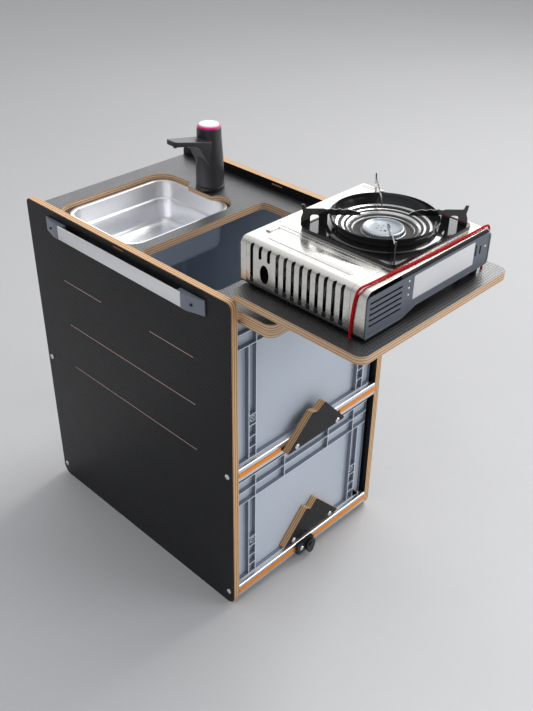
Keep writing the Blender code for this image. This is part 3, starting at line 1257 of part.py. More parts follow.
def make_burner():
    centre = (BURNER_X, BURNER_Y, 0)
    top = STOVE_TOP - STOVE_SHEET - FIT_GAP
    stem_low = top - BURNER_STEM_DEPTH + FIT_GAP
    rise = BURNER_TOP - BURNER_LOW
    profile = [(BURNER_RADIUS * out, BURNER_LOW + rise * up) for out, up in BURNER_SHARES]
    profile += [(BURNER_STEM_RADIUS, BURNER_LOW), (BURNER_STEM_RADIUS, stem_low), (0, stem_low)]
    head = turned("burner_head", centre, "Z", profile, "steel")

    bowl_low = STOVE_TOP + FIT_GAP
    sheet = BOWL_SHEET
    rim = bowl_low + BOWL_RIM_RISE
    span = BOWL_OUTER_RADIUS - BOWL_INNER_RADIUS
    under = [
        (BOWL_INNER_RADIUS + span * out, bowl_low + (rim - bowl_low) * up)
        for out, up in BOWL_SHARES]
    over = [
        (radius - sheet * up, height + sheet)
        for (radius, height), (_, up) in zip(under, BOWL_SHARES)]
    bowl = turned("burner_bowl", centre, "Z", over + under[::-1], "steel", closed=True)

    tray_low = STOVE_TOP + FIT_GAP
    tray_high = tray_low + TRAY_HEIGHT
    tray = prism(
        "drip_tray",
        [rectangle(TRAY_X, TRAY_Y, TRAY_RADIUS),
         circle((BURNER_X, BURNER_Y), TRAY_HOLE_RADIUS, ROUND_STEPS)],
        (tray_low, tray_high), "XY", "enamel")
    ring = turned("tray_ring", centre, "Z", [
        (RING_RADIUS - RING_WALL, RING_TOP), (RING_RADIUS, RING_TOP),
        (RING_RADIUS, tray_high - TRAY_HEIGHT / 2),
        (RING_RADIUS - RING_WALL, tray_high - TRAY_HEIGHT / 2)], closed=True)
    boolean(tray, ring, "UNION")
    outer_leg = ARM_TIP_RADIUS - ARM_LEG
    inner_leg = outer_leg - ARM_WINDOW_GAP
    sunk = tray_high - ARM_THICKNESS
    arm = [
        (ARM_TIP_RADIUS, sunk), (ARM_TIP_RADIUS, ARM_TIP_TOP),
        (ARM_TIP_RADIUS - ARM_HORN, ARM_TIP_TOP), (ARM_TIP_RADIUS - ARM_HORN, ARM_TOP),
        (ARM_INNER_RADIUS, ARM_TOP - ARM_THICKNESS), (ARM_INNER_RADIUS, ARM_LOW + ARM_THICKNESS),
        (inner_leg - ARM_LEG, ARM_LOW), (inner_leg - ARM_LEG, sunk), (inner_leg, sunk),
        (inner_leg, ARM_LOW), (outer_leg, ARM_LOW), (outer_leg, sunk)]
    for index in range(ARM_COUNT):
        mesh = prism_mesh("arm", [arm], (-ARM_THICKNESS / 2, ARM_THICKNESS / 2), "XZ")
        angle = math.tau * (index + 0.5) / ARM_COUNT
        mesh.transform(
            Matrix.Translation(centre) @ Matrix.Rotation(angle, 4, "Z"))
        boolean(tray, add_piece(f"arm_{index}", mesh), "UNION")
    move_origin(tray, (BURNER_X, BURNER_Y, tray_low))
    return head, bowl, tray


def make_cartridge():
    y0, y1 = CARTRIDGE_Y
    z = STOVE_LOW + STOVE_FLOOR + FIT_GAP + CARTRIDGE_RADIUS
    length = y1 - y0
    shoulder = CARTRIDGE_RADIUS - CARTRIDGE_DOME / 2
    return turned("gas_cartridge", (CARTRIDGE_X, y0, z), "Y", [
        (0, length), (CARTRIDGE_NECK_RADIUS, length),
        (CARTRIDGE_NECK_RADIUS, length - CARTRIDGE_NECK),
        (shoulder, length - CARTRIDGE_NECK - CARTRIDGE_DOME / 4),
        (CARTRIDGE_RADIUS, length - CARTRIDGE_NECK - CARTRIDGE_DOME),
        (CARTRIDGE_RADIUS, 0), (0, 0)], "cartridge", SMALL_ROUND_STEPS * 2)


def smooth_route(points, step):
    """Points about one step apart on a smooth curve through the route's own points."""
    ends = [points[0] * 2 - points[1], *points, points[-1] * 2 - points[-2]]
    route = []
    for a, b, c, d in zip(ends, ends[1:], ends[2:], ends[3:]):
        pieces = max(1, round((c - b).length / step))
        for index in range(pieces):
            t = index / pieces
            route.append((
                b * 2 + (c - a) * t + (a * 2 - b * 5 + c * 4 - d) * t ** 2
                + (b * 3 - a - c * 3 + d) * t ** 3) / 2)
    route.append(points[-1])
    return route


def make_cord():
    curve = bpy.data.curves.new("elastic_cord", "CURVE")
    curve.dimensions = "3D"
    curve.bevel_depth = CORD_RADIUS
    curve.bevel_resolution = 2
    curve.use_fill_caps = True
    route = smooth_route(
        [Vector((x, y, BOARD_TOP + rise)) for x, y, rise in CORD_ROUTE], CORD_STEP)
    spline = curve.splines.new("POLY")
    spline.points.add(len(route) - 1)
    for point, place in zip(spline.points, route):
        point.co = (*place, 1)
    cord = bpy.data.objects.new("elastic_cord", curve)
    pod.objects.link(cord)
    cord.parent = frame
    paint(cord, "red")
    return cord


def main():
    make_side_panels()
    make_rails()
    make_slot_covers()
    make_panel_bolts()
    make_worktop()
    make_sink_pan()
    make_boxes()
    make_stop_plate()
    make_catch()
    make_handles()
    make_tap()
    plate = make_swivel()
    board = make_board()
    stove = make_stove_body()
    riders = [
        plate, stove, make_stove_skin(), make_cartridge_lid(), make_end_panel(),
        *make_controls(), *make_burner(), make_cartridge(), make_cord()]
    for piece in riders:
        ride_on(piece, board)


main()
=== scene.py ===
import json
import math

import bmesh
import bpy
from mathutils import Matrix, Vector

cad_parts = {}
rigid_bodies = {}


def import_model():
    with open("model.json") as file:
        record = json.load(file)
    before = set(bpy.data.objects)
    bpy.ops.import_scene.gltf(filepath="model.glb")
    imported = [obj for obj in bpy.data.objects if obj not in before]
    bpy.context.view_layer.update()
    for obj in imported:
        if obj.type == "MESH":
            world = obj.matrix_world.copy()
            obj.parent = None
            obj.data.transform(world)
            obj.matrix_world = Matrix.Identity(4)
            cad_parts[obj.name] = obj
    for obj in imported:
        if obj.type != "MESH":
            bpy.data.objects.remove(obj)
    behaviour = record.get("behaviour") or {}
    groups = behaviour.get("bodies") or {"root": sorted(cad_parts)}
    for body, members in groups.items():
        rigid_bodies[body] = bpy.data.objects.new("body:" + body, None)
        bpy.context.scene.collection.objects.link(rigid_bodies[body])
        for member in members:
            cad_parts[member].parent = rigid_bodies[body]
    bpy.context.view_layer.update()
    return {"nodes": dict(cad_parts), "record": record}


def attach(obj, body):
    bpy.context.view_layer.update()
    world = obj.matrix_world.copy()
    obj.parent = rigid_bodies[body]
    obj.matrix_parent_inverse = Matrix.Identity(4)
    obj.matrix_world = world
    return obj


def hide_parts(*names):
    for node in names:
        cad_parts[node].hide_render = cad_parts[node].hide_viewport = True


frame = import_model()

nodes = frame["nodes"]
for item in list(bpy.data.objects):  # what a fresh Blender file brings along
    if item.type in {"CAMERA", "LIGHT"} or item.type == "MESH" and item.name not in nodes:
        bpy.data.objects.remove(item)

# Lengths are metres. Shapes are laid out with x from the left panel's outer face, y from the
# panels' front edges and z from the floor, and moved home when they become pieces.
home = Vector((-0.219, -0.170, 0))
planes = {"XY": (0, 1, 2), "XZ": (0, 2, 1), "YZ": (1, 2, 0)}


# Puts an object into the scene.
def linked(item):
    bpy.context.scene.collection.objects.link(item)
    return item


# Shader wires
class Wire:
    def __init__(self, tree, socket=None):
        self.tree = tree
        self.socket = socket

    def add(self, kind, settings=None, sockets=None, out=0):
        made = self.tree.nodes.new("ShaderNode" + kind)
        for name, value in (settings or {}).items():
            if name == "stops":
                ends = made.color_ramp.elements
                for end, (place, colour) in ((ends[0], value[0]), (ends[1], value[-1])):
                    end.position = place
                    end.color = (*colour, 1)
                for place, colour in value[1:-1]:
                    ends.new(place).color = (*colour, 1)
            else:
                setattr(made, name, value)
        for name, value in (sockets or {}).items():
            if isinstance(value, Wire):
                self.tree.links.new(value.socket, made.inputs[name])
            else:
                made.inputs[name].default_value = value
        return Wire(self.tree, made.outputs[out])

    def maths(self, operation, first, second=0):
        return self.add("Math", {"operation": operation}, {0: first, 1: second})

    def __add__(self, other):
        return self.maths("ADD", self, other)

    def __sub__(self, other):
        return self.maths("SUBTRACT", self, other)

    def __rsub__(self, other):
        return self.maths("SUBTRACT", other, self)

    def __mul__(self, other):
        return self.maths("MULTIPLY", self, other)

    def __gt__(self, other):
        return self.maths("GREATER_THAN", self, other)

    def __lt__(self, other):
        return self.maths("LESS_THAN", self, other)

    def __mod__(self, other):
        return self.maths("FLOORED_MODULO", self, other)

    def __abs__(self):
        return self.maths("ABSOLUTE", self)

    def cosine(self):
        return self.maths("COSINE", self)


def startFinish(name):
    material = bpy.data.materials.new(name)
    material.use_nodes = True
    return material, Wire(material.node_tree)


def endFinish(material, sockets, height=None, depth=0.0002, strength=1.0):
    tree = material.node_tree
    shader = tree.nodes["Principled BSDF"]
    for name, value in sockets.items():
        if isinstance(value, Wire):
            tree.links.new(value.socket, shader.inputs[name])
        else:
            shader.inputs[name].default_value = value
    if height is not None:
        bump = height.add("Bump", {}, {"Strength": strength, "Distance": depth, "Height": height})
        tree.links.new(bump.socket, shader.inputs["Normal"])
    return material


def split(vector):
    made = vector.add("SeparateXYZ", {}, {0: vector}).socket.node
    return [Wire(vector.tree, socket) for socket in made.outputs]


def noise(start, scale, detail=3.0, stretch=(1, 1, 1), rough=0.5):
    place = start.add("TexCoord", out="Object")
    place = start.add("Mapping", {}, {"Vector": place, "Scale": stretch})
    return start.add(
        "TexNoise", {}, {"Vector": place, "Scale": scale, "Detail": detail, "Roughness": rough})


def mixed(factor, first, second):
    rgba = [value if isinstance(value, Wire) else (*value, 1) for value in (first, second)]
    return factor.add(
        "Mix", {"data_type": "RGBA"}, {0: factor, 6: rgba[0], 7: rgba[1]}, 2)


def blended(factor, first, second):
    return factor * second + (1 - factor) * first


# A sum of shader wires with a weight each, on top of a base.
def weighted(wires, weights, base=0):
    total = base
    for wire, weight in zip(wires, weights):
        total = wire * weight + total
    return total


# In the looks, a noise is (scale, detail, stretch), and a mix is the weights of a sum.
plyLook = {
    "facing": 0.6, "film": (0.0030, 0.0031, 0.0038), "filmWorn": (0.0095, 0.0098, 0.0115),
    "wornMix": (0.5, 0.25, 0.2), "filmRoughMix": (0.12, 0.08), "filmHeightMix": (1, 0.25),
    "printPitch": 0.0056, "printLean": (0.866, 0.5), "printShare": 0.33, "printDepth": 0.00022,
    "cloud": (26, 4), "speckle": (1400, 2), "wave": (20, 3), "waveHigh": 0.0013,
    "pale": (0.80, 0.54, 0.30), "tan": (0.68, 0.42, 0.215), "brown": (0.31, 0.145, 0.066),
    "brownMix": (0.4, 0.7), "layer": 0.0050, "brownShare": 0.19, "streak": (520, 4),
    "streakAlong": 0.04, "pore": (1100, 2), "poreRough": 0.2, "edgeRoughness": 0.48,
    "edgeHeightMix": (0.6, 0.4)}
plyLooks = {"plyPanel": (0, 0.30, 0.24), "plyTop": (2, 0.34, 1.0, 1.62),
            "plyPlate": (1, 0.30, 0.24)}


# Black printed film on the faces across one axis, bare layers on the edges.
def plyFinish(name, axis, roughness, shine, index=1.5):
    look = plyLook
    material, start = startFinish(name)
    place = split(start.add("TexCoord", out="Object"))
    facing = split(start.add("TexCoord", out="Normal"))
    isFilm = abs(facing[axis]) > look["facing"]
    u, v = [place[number] for number in range(3) if number != axis]
    turn = math.tau / look["printPitch"]
    leanU, leanV = [turn * lean for lean in look["printLean"]]
    lattice = ((v * turn).cosine() + (u * leanU + v * leanV).cosine()
               + (u * leanU - v * leanV).cosine()) * look["printShare"]
    cloud = noise(start, *look["cloud"])
    speckle = noise(start, *look["speckle"])
    worn = weighted((cloud, lattice, speckle), look["wornMix"])
    film = mixed(worn, look["film"], look["filmWorn"])
    filmRough = weighted((cloud, lattice), look["filmRoughMix"], roughness)

    wave = noise(start, *look["wave"])
    depth = (place[axis] + (wave - 0.5) * look["waveHigh"]) % look["layer"]
    isBrown = look["brownShare"] * look["layer"] > abs(depth - look["layer"] * 0.5)
    along = tuple(1 if number == axis else look["streakAlong"] for number in range(3))
    streak = noise(start, *look["streak"], along)
    pore = noise(start, *look["pore"])
    share, base = look["brownMix"]
    layers = mixed(streak, look["pale"], look["tan"])
    layers = mixed(isBrown * (streak * share + base), layers, look["brown"])
    rough = blended(isFilm, pore * look["poreRough"] + look["edgeRoughness"], filmRough)
    height = blended(isFilm, weighted((streak, pore), look["edgeHeightMix"]),
                     weighted((lattice, speckle), look["filmHeightMix"]))
    return endFinish(
        material, {"Base Color": mixed(isFilm, layers, film), "Roughness": rough,
                   "Specular IOR Level": shine, "IOR": index}, height, look["printDepth"])


# The rib colour is a painted highlight and the cell colour is painted shade.
boxLook = {
    "front": 0.009, "frontDepth": 0.0008, "cellDepth": 0.0095, "forward": -0.6, "sideways": 0.5,
    "plain": (0.50, 0.565, 0.655), "plainPale": (0.58, 0.635, 0.705), "cell": (0.20, 0.23, 0.29),
    "ribHighlight": (0.74, 0.78, 0.84), "cloud": (9, 3), "grain": (1100, 2), "paleMix": (0.6, 0.3),
    "roughMix": (0.14, 0.1), "roughness": 0.34, "depth": 0.00003}


# Grey crate plastic, with a painted highlight on the rib fronts and painted shade on the cells' side
# walls.
def boxFinish(name):
    look = boxLook
    material, start = startFinish(name)
    place = split(start.add("TexCoord", out="Object"))
    facing = split(start.add("TexCoord", out="Normal"))
    noises = noise(start, *look["cloud"]), noise(start, *look["grain"])
    front = look["front"] + home.y
    # Painted highlight on the rib fronts, painted shade on the side walls of the cells.
    isRibHighlight = (look["frontDepth"] + front > place[1]) * (look["forward"] > facing[1])
    isCellShade = (front + look["cellDepth"] > place[1]) * (look["sideways"] > abs(facing[1]))
    plain = mixed(weighted(noises, look["paleMix"]), look["plain"], look["plainPale"])
    colour = mixed(isRibHighlight, mixed(isCellShade, plain, look["cell"]), look["ribHighlight"])
    rough = weighted(noises, look["roughMix"], look["roughness"])
    return endFinish(
        material, {"Base Color": colour, "Roughness": rough}, noises[1], look["depth"])


metalLook = {"detail": 4, "grainRough": 0.6, "smear": (18, 3), "mix": (0.5, 0.5)}
metalLooks = {  # colour, roughness, stretch and scale of the grain, spread, depth, dulled
    "railMetal": ((0.80, 0.81, 0.83), 0.36, (0.02, 1, 1), 900),
    "handleMetal": ((0.92, 0.93, 0.94), 0.38, (1, 0.02, 1), 900),
    "panSteel": ((0.88, 0.89, 0.91), 0.34, (1, 0.06, 1), 260, 0.05, 0.000002, 0.93),
    "discSteel": ((0.62, 0.61, 0.60), 0.30, (1, 1, 1), 500, 0.1),
    "headSteel": ((0.33, 0.36, 0.39), 0.34, (1, 1, 1), 500, 0.1),
    "boltZinc": ((0.80, 0.80, 0.81), 0.24, (1, 1, 1), 700, 0.08)}


def metalFinish(name, colour, roughness, stretch, scale, spread=0.12, depth=0.00002,
                dulled=0.85):
    look = metalLook
    material, start = startFinish(name)
    grain = noise(start, scale, look["detail"], stretch, look["grainRough"])
    noises = grain, noise(start, *look["smear"])
    shade = tuple(value * dulled for value in colour)
    rough = weighted(noises, (spread, spread), roughness - spread)
    return endFinish(
        material, {"Base Color": mixed(weighted(noises, look["mix"]), shade, colour),
                   "Metallic": 1.0, "Roughness": rough}, grain, depth)


mouldedLook = {"detail": 2, "cloud": (14, 4), "dulled": 0.8, "mix": (0.7, 0.3),
               "coatRoughness": 0.05, "glowStrength": 0.15}
mouldedLooks = {  # colour, roughness, scale and depth of the grain, spread, coat, glow
    "orangePlastic": ((1.0, 0.31, 0.006), 0.42),
    "capPlastic": ((0.215, 0.24, 0.295), 0.40),
    "blackPlastic": ((0.012, 0.012, 0.014), 0.36),
    # Near black: the own colour of the feet and screws, and painted shade inside the stove, in the
    # burner's ports and in the bowl's grooves.
    "innerBlack": ((0.006, 0.006, 0.007), 0.6),
    "tapPlastic": ((0.036, 0.037, 0.042), 0.34, 2200, 0.00002),
    "pinkLight": ((0.80, 0.010, 0.22), 0.3, 900, 0.00006, 0.12, 0, (0.9, 0.01, 0.24)),
    "buttonWhite": ((0.82, 0.83, 0.88), 0.3, 600, 0.00002),
    "stovePaint": ((0.105, 0.122, 0.155), 0.34, 1300, 0.00002),
    "labelPlate": ((0.78, 0.79, 0.81), 0.35, 1800, 0.00002),
    "enamel": ((0.008, 0.008, 0.009), 0.16, 500, 0.00003, 0.05, 0.7),
    # Near black: painted shade for the stove's dark inside, seen through the lid's slots.
    "cartridgePaint": ((0.03, 0.032, 0.036), 0.3, 900, 0.00006, 0.12, 0.5),
    "copperLine": ((0.60, 0.39, 0.32), 0.5, 2000)}


def mouldedFinish(name, colour, roughness, scale=900, depth=0.00006, spread=0.12, coat=0,
                  glow=None):
    look = mouldedLook
    material, start = startFinish(name)
    noises = noise(start, *look["cloud"]), noise(start, scale, look["detail"])
    shade = tuple(value * look["dulled"] for value in colour)
    sockets = {"Base Color": mixed(weighted(noises, look["mix"]), shade, colour),
               "Roughness": weighted(noises, (spread, spread), roughness - spread)}
    if coat:
        sockets["Coat Weight"] = coat
        sockets["Coat Roughness"] = look["coatRoughness"]
    if glow:
        sockets["Emission Color"] = (*glow, 1)
        sockets["Emission Strength"] = look["glowStrength"]
    return endFinish(material, sockets, noises[1], depth)


chromeLook = {
    "patch": (55, 5), "patchRough": 0.7, "fine": (700, 3, (1, 0.15, 1)), "dulled": 0.62,
    "cover": ((0.42, (0, 0, 0)), (0.68, (1, 1, 1))), "coverShare": 0.30, "roughMix": (0.10, 0.06),
    "roughness": 0.21, "heightMix": (0.8, 0.2), "depth": 0.00007}
chromeLooks = {"stoveChrome": [(0.76, 0.745, 0.70)], "burnerChrome": [(0.66, 0.66, 0.65)]}


# Thin rolled sheet: bright, a little wavy, with grey patches where it is handled.
def chromeFinish(name, colour):
    look = chromeLook
    material, start = startFinish(name)
    patch = noise(start, *look["patch"], rough=look["patchRough"])
    fine = noise(start, *look["fine"])
    shade = tuple(value * look["dulled"] for value in colour)
    cover = patch.add("ValToRGB", {"stops": look["cover"]}, {0: patch})
    return endFinish(
        material, {"Base Color": mixed(cover * look["coverShare"], colour, shade),
                   "Metallic": 1.0,
                   "Roughness": weighted((cover, fine), look["roughMix"], look["roughness"])},
        weighted((patch, fine), look["heightMix"]), look["depth"])


cordLook = {
    "colour": (0.93, 0.010, 0.020), "strands": 5200.0, "fuzz": (1500, 2), "dulled": 0.55,
    "mix": (0.3, 0.7), "fuzzRough": 0.2, "roughness": 0.6, "shine": 0.15, "depth": 0.00025}


# A woven cover: two sets of strands that cross along the cord.
def cordFinish(name):
    look = cordLook
    material, start = startFinish(name)
    place = split(start.add("TexCoord", out="Object"))
    along = place[0] * look["strands"]
    across = (place[1] + place[2]) * look["strands"]
    weave = (along + across).cosine() * (along - across).cosine()
    fuzz = noise(start, *look["fuzz"])
    shade = tuple(value * look["dulled"] for value in look["colour"])
    colour = mixed(weighted((weave, fuzz), look["mix"]), shade, look["colour"])
    return endFinish(
        material, {"Base Color": colour, "Specular IOR Level": look["shine"],
                   "Roughness": fuzz * look["fuzzRough"] + look["roughness"]},
        weave, look["depth"])


floorLook = {
    "shadeSlope": 0.125, "cloud": (1.3, 5), "cloudRough": 0.6, "cloudShare": 0.16, "dust": (60, 4),
    "dustShare": 0.03, "roughness": 0.8, "shine": 0.1, "depth": 0.0003,
    "stops": ((0.02, (0.57, 0.57, 0.577)), (0.24, (0.475, 0.475, 0.48)),
    (1.0, (0.36, 0.36, 0.363)))}


# The floor's colour is darker the farther back and right it lies: painted shade for the light
# falling off, with random cloud and dust on top.
def floorFinish(name):
    look = floorLook
    material, start = startFinish(name)
    place = split(start.add("TexCoord", out="Object"))
    cloud = noise(start, *look["cloud"], rough=look["cloudRough"])
    dust = noise(start, *look["dust"])
    # Painted shade: the tone falls towards the back and right.
    tone = ((place[0] + place[1]) * look["shadeSlope"] + look["shadeSlope"]
            + (cloud - 0.5) * look["cloudShare"] + (dust - 0.5) * look["dustShare"])
    ramp = start.add("ValToRGB", {"stops": look["stops"]}, {0: tone})
    return endFinish(
        material, {"Base Color": ramp, "Roughness": look["roughness"],
                   "Specular IOR Level": look["shine"]}, dust, look["depth"])


finishes = {"boxPlastic": boxFinish("boxPlastic"), "redCord": cordFinish("redCord"),
            "floorGrey": floorFinish("floorGrey")}
for make, looks in ((plyFinish, plyLooks), (metalFinish, metalLooks),
                    (mouldedFinish, mouldedLooks), (chromeFinish, chromeLooks)):
    for name, look in looks.items():
        finishes[name] = make(name, *look)
slots = {
    "ply_black": "plyPlate", "aluminium": "railMetal", "steel": "discSteel", "bolt": "boltZinc",
    "orange": "orangePlastic", "box_grey": "boxPlastic", "grey_plastic": "capPlastic",
    "black_plastic": "blackPlastic", "tap_grey": "tapPlastic", "pink": "pinkLight",
    "white": "buttonWhite", "stove_sheet": "stoveChrome", "stove_grey": "stovePaint",
    "enamel": "enamel", "cartridge": "cartridgePaint", "red": "redCord"}
nodeSlots = {row["node"]: row["material_slot"] for row in frame["record"]["subparts"]}
for name, item in nodes.items():
    item.data.materials.clear()
    item.data.materials.append(finishes[slots[nodeSlots[name]]])
print("finishes ready:", len(finishes))

# Shape helpers, in the layout's metres
mergeWithin = 0.000002
cadMergeWithin = 0.00002
flatAngle = math.radians(0.5)
easeAngle = math.radians(32)
sharpTurn = 0.6  # radians between two faces, above which their edge counts as sharp
alongShare = 0.9  # how much of an edge's direction lies along an axis it runs along
turns = {"X": ("Y", 1), "-X": ("Y", -1), "Y": ("X", -1), "-Y": ("X", 1)}


def merged(*shapes):
    whole = bmesh.new()
    for shape in shapes:
        mesh = bpy.data.meshes.new("draft")
        shape.to_mesh(mesh)
        shape.free()
        whole.from_mesh(mesh)
        bpy.data.meshes.remove(mesh)
    return whole


def bevelEdges(shape, edges, width, steps=3):
    bmesh.ops.bevel(
        shape, geom=list(edges), offset=width, offset_type="OFFSET", segments=steps,
        profile=0.5, affect="EDGES", material=-1, clamp_overlap=True)
    return shape


# A box, with the edges along one axis rounded, and then all edges eased.
def block(x, y, z, radius=0, along="z", steps=8, ease=0):
    shape = bmesh.new()
    size = Matrix.Diagonal((x[1] - x[0], y[1] - y[0], z[1] - z[0], 1))
    middle = Vector((x[0] + x[1], y[0] + y[1], z[0] + z[1])) / 2
    bmesh.ops.create_cube(shape, size=1, matrix=Matrix.Translation(middle) @ size)
    axis = "xyz".index(along)
    if radius:
        upright = [edge for edge in shape.edges
                   if abs((edge.verts[0].co - edge.verts[1].co).normalized()[axis])
                   > alongShare]
        bevelEdges(shape, upright, radius, steps)
    if ease:
        bevelEdges(shape, [edge for edge in shape.edges
                           if edge.calc_face_angle(0) > sharpTurn], ease)
    return shape


# A flat face from (u, v, radius) corners.
def flatFace(corners, level, plane="XY", steps=8):
    shape = bmesh.new()
    u, v, w = planes[plane]
    rounded = []
    verts = []
    for index, (first, second, radius) in enumerate(corners):
        place = [0, 0, 0]
        place[u], place[v], place[w] = first, second, level
        verts.append(shape.verts.new(place))
        if radius:
            here = Vector((first, second))
            before = Vector(corners[index - 1][:2]) - here
            after = Vector(corners[(index + 1) % len(corners)][:2]) - here
            rounded.append((verts[-1], radius / math.tan(before.angle(after) / 2)))
    shape.faces.new(verts)
    for vert, width in rounded:
        bmesh.ops.bevel(
            shape, geom=[vert], offset=width, offset_type="OFFSET", segments=steps,
            profile=0.5, affect="VERTICES", material=-1, clamp_overlap=False)
    return shape


# A flat outline given a thickness.
def slab(corners, span, plane="XY", steps=8):
    shape = flatFace(corners, span[0], plane, steps)
    made = bmesh.ops.extrude_face_region(shape, geom=list(shape.faces))["geom"]
    move = [0, 0, 0]
    move[planes[plane][2]] = span[1] - span[0]
    moved = [item for item in made if isinstance(item, bmesh.types.BMVert)]
    bmesh.ops.translate(shape, verts=moved, vec=move)
    bmesh.ops.recalc_face_normals(shape, faces=shape.faces)
    return shape


def rectangle(u, v, radius=0):
    return [(u[0], v[0], radius), (u[1], v[0], radius), (u[1], v[1], radius), (u[0], v[1], radius)]


# A shape moved to a place, after a turn or a stretch.
def moved(shape, place, change=Matrix()):
    bmesh.ops.transform(
        shape, matrix=Matrix.Translation(place) @ change, verts=shape.verts)
    return shape


# The turn that lays the z axis along another one.
def turned(axis):
    about, sign = turns[axis]
    return Matrix.Rotation(sign * math.pi / 2, 4, about)


# A profile of (radius, height) points turned round an axis through the centre.
def lathe(profile, centre=(0, 0, 0), axis="Z", steps=64, closed=False):
    shape = bmesh.new()
    verts = [shape.verts.new((radius, 0, height)) for radius, height in profile]
    edges = [shape.edges.new(pair) for pair in zip(verts, verts[1:])]
    if closed:
        edges.append(shape.edges.new((verts[-1], verts[0])))
    bmesh.ops.spin(
        shape, geom=verts + edges, cent=(0, 0, 0), axis=(0, 0, 1), dvec=(0, 0, 0),
        angle=math.tau, steps=steps, use_merge=True, use_duplicate=False)
    bmesh.ops.remove_doubles(shape, verts=shape.verts, dist=mergeWithin)
    bmesh.ops.recalc_face_normals(shape, faces=shape.faces)
    return moved(shape, centre, Matrix() if axis == "Z" else turned(axis))


# A solid disc or pin turned round an axis.
def disc(radius, span, centre=(0, 0, 0), axis="Z", steps=64):
    low, high = span
    return lathe([(0, high), (radius, high), (radius, low), (0, low)], centre, axis, steps)


# An open ring of rectangular section.
def hoop(radii, span, centre, axis="Z", steps=64):
    (inner, outer), (low, high) = radii, span
    return lathe([(inner, high), (outer, high), (outer, low), (inner, low)],
                 centre, axis, steps, True)


# One shape cut by another, or joined to it.
def carved(shape, tool, operation="DIFFERENCE"):
    drafts = []
    for part in (shape, tool):
        mesh = bpy.data.meshes.new("draft")
        part.to_mesh(mesh)
        part.free()
        drafts.append(linked(bpy.data.objects.new("draft", mesh)))
    cut = drafts[0].modifiers.new("cut", "BOOLEAN")
    cut.operation = operation
    cut.solver = "EXACT"
    cut.use_self = True
    cut.object = drafts[1]
    graph = bpy.context.evaluated_depsgraph_get()
    mesh = bpy.data.meshes.new_from_object(drafts[0].evaluated_get(graph))
    result = bmesh.new()
    result.from_mesh(mesh)
    bpy.data.meshes.remove(mesh)
    for draft in drafts:
        old = draft.data
        bpy.data.objects.remove(draft)
        bpy.data.meshes.remove(old)
    bmesh.ops.remove_doubles(result, verts=result.verts, dist=mergeWithin)
    return result


# A CAD node's mesh, merged and with its flat faces whole, back in the layout.
def copied(node):
    shape = bmesh.new()
    shape.from_mesh(nodes[node].data)
    bmesh.ops.remove_doubles(shape, verts=shape.verts, dist=cadMergeWithin)
    bmesh.ops.dissolve_limit(
        shape, angle_limit=flatAngle, verts=shape.verts, edges=shape.edges)
    bmesh.ops.translate(shape, verts=shape.verts, vec=-home)
    return shape


def piece(name, shape, finish, body, replaced=(), bevel=0, bevelSteps=2, sharp=35):
    bmesh.ops.translate(shape, verts=shape.verts, vec=home)
    mesh = bpy.data.meshes.new(name)
    shape.to_mesh(mesh)
    shape.free()
    mesh.shade_smooth()
    mesh.set_sharp_from_angle(angle=math.radians(sharp))
    mesh.materials.clear()
    mesh.materials.append(finishes[finish])
    item = linked(bpy.data.objects.new(name, mesh))
    if bevel:
        ease = item.modifiers.new("ease", "BEVEL")
        ease.width = bevel
        ease.segments = bevelSteps
        ease.limit_method = "ANGLE"
        ease.angle_limit = easeAngle
        ease.harden_normals = True
    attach(item, body)
    if replaced:
        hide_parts(*replaced)
    return item


# Camera, at the photograph's angle
view = {
    "focal": 900.67, "longSide": 711, "film": 36.0, "clip": 0.01,
    "place": (-0.87663, -0.93279, 1.48346), "right": (0.701619, -0.712452, 0.011933),
    "up": (0.388459, 0.396485, 0.831805), "back": (-0.597353, -0.578975, 0.554940)}
cameraData = bpy.data.cameras.new("photoCamera")
cameraData.sensor_width = view["film"]
cameraData.lens = view["focal"] / view["longSide"] * view["film"]
cameraData.clip_start = view["clip"]
camera = linked(bpy.data.objects.new("photoCamera", cameraData))
turn = Matrix((view["right"], view["up"], view["back"])).transposed().to_4x4()
camera.matrix_world = Matrix.Translation(Vector(view["place"]) + home) @ turn
bpy.context.scene.camera = camera

# Elastic cord, the same route as the part's
cord = {
    "radius": 0.002, "step": 0.004, "turns": 5, "route": ( (0.0444, -0.2160, 0.7356),
    (0.0444, -0.2158, 0.7450), (0.0442, -0.2162, 0.7700), (0.0442, -0.2190, 0.8000),
    (0.0441, -0.2222, 0.8190), (0.0468, -0.2246, 0.8297), (0.0550, -0.2260, 0.8330),
    (0.0700, -0.2270, 0.8328), (0.1300, -0.2295, 0.8326), (0.2380, -0.2340, 0.8326),
    (0.3300, -0.2360, 0.8326), (0.3590, -0.2362, 0.8326), (0.3737, -0.2360, 0.8294),
    (0.3793, -0.2350, 0.8170), (0.3792, -0.2330, 0.7900), (0.3792, -0.2320, 0.7450),
    (0.3792, -0.2320, 0.7356))}


def makeCord():
    points = [Vector(point) + home for point in cord["route"]]
    ends = [points[0] * 2 - points[1], *points, points[-1] * 2 - points[-2]]
    route = []
    for a, b, c, d in zip(ends, ends[1:], ends[2:], ends[3:]):
        count = max(1, round((c - b).length / cord["step"]))
        for index in range(count):
            t = index / count
            route.append((b * 2 + (c - a) * t + (a * 2 - b * 5 + c * 4 - d) * t ** 2
                          + (b * 3 - a - c * 3 + d) * t ** 3) / 2)
    route.append(points[-1])
    curve = bpy.data.curves.new("stoveCord", "CURVE")
    curve.dimensions = "3D"
    curve.bevel_depth = cord["radius"]
    curve.bevel_resolution = cord["turns"]
    curve.use_fill_caps = True
    spline = curve.splines.new("POLY")
    spline.points.add(len(route) - 1)
    for point, place in zip(spline.points, route):
        point.co = (*place, 1)
    spline.use_smooth = True
    item = linked(bpy.data.objects.new("stoveCord", curve))
    curve.materials.append(finishes["redCord"])
    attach(item, "stove_board")
    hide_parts("elastic_cord")
    length = sum((after - before).length for before, after in zip(route, route[1:]))


makeCord()
print("camera and cord ready")

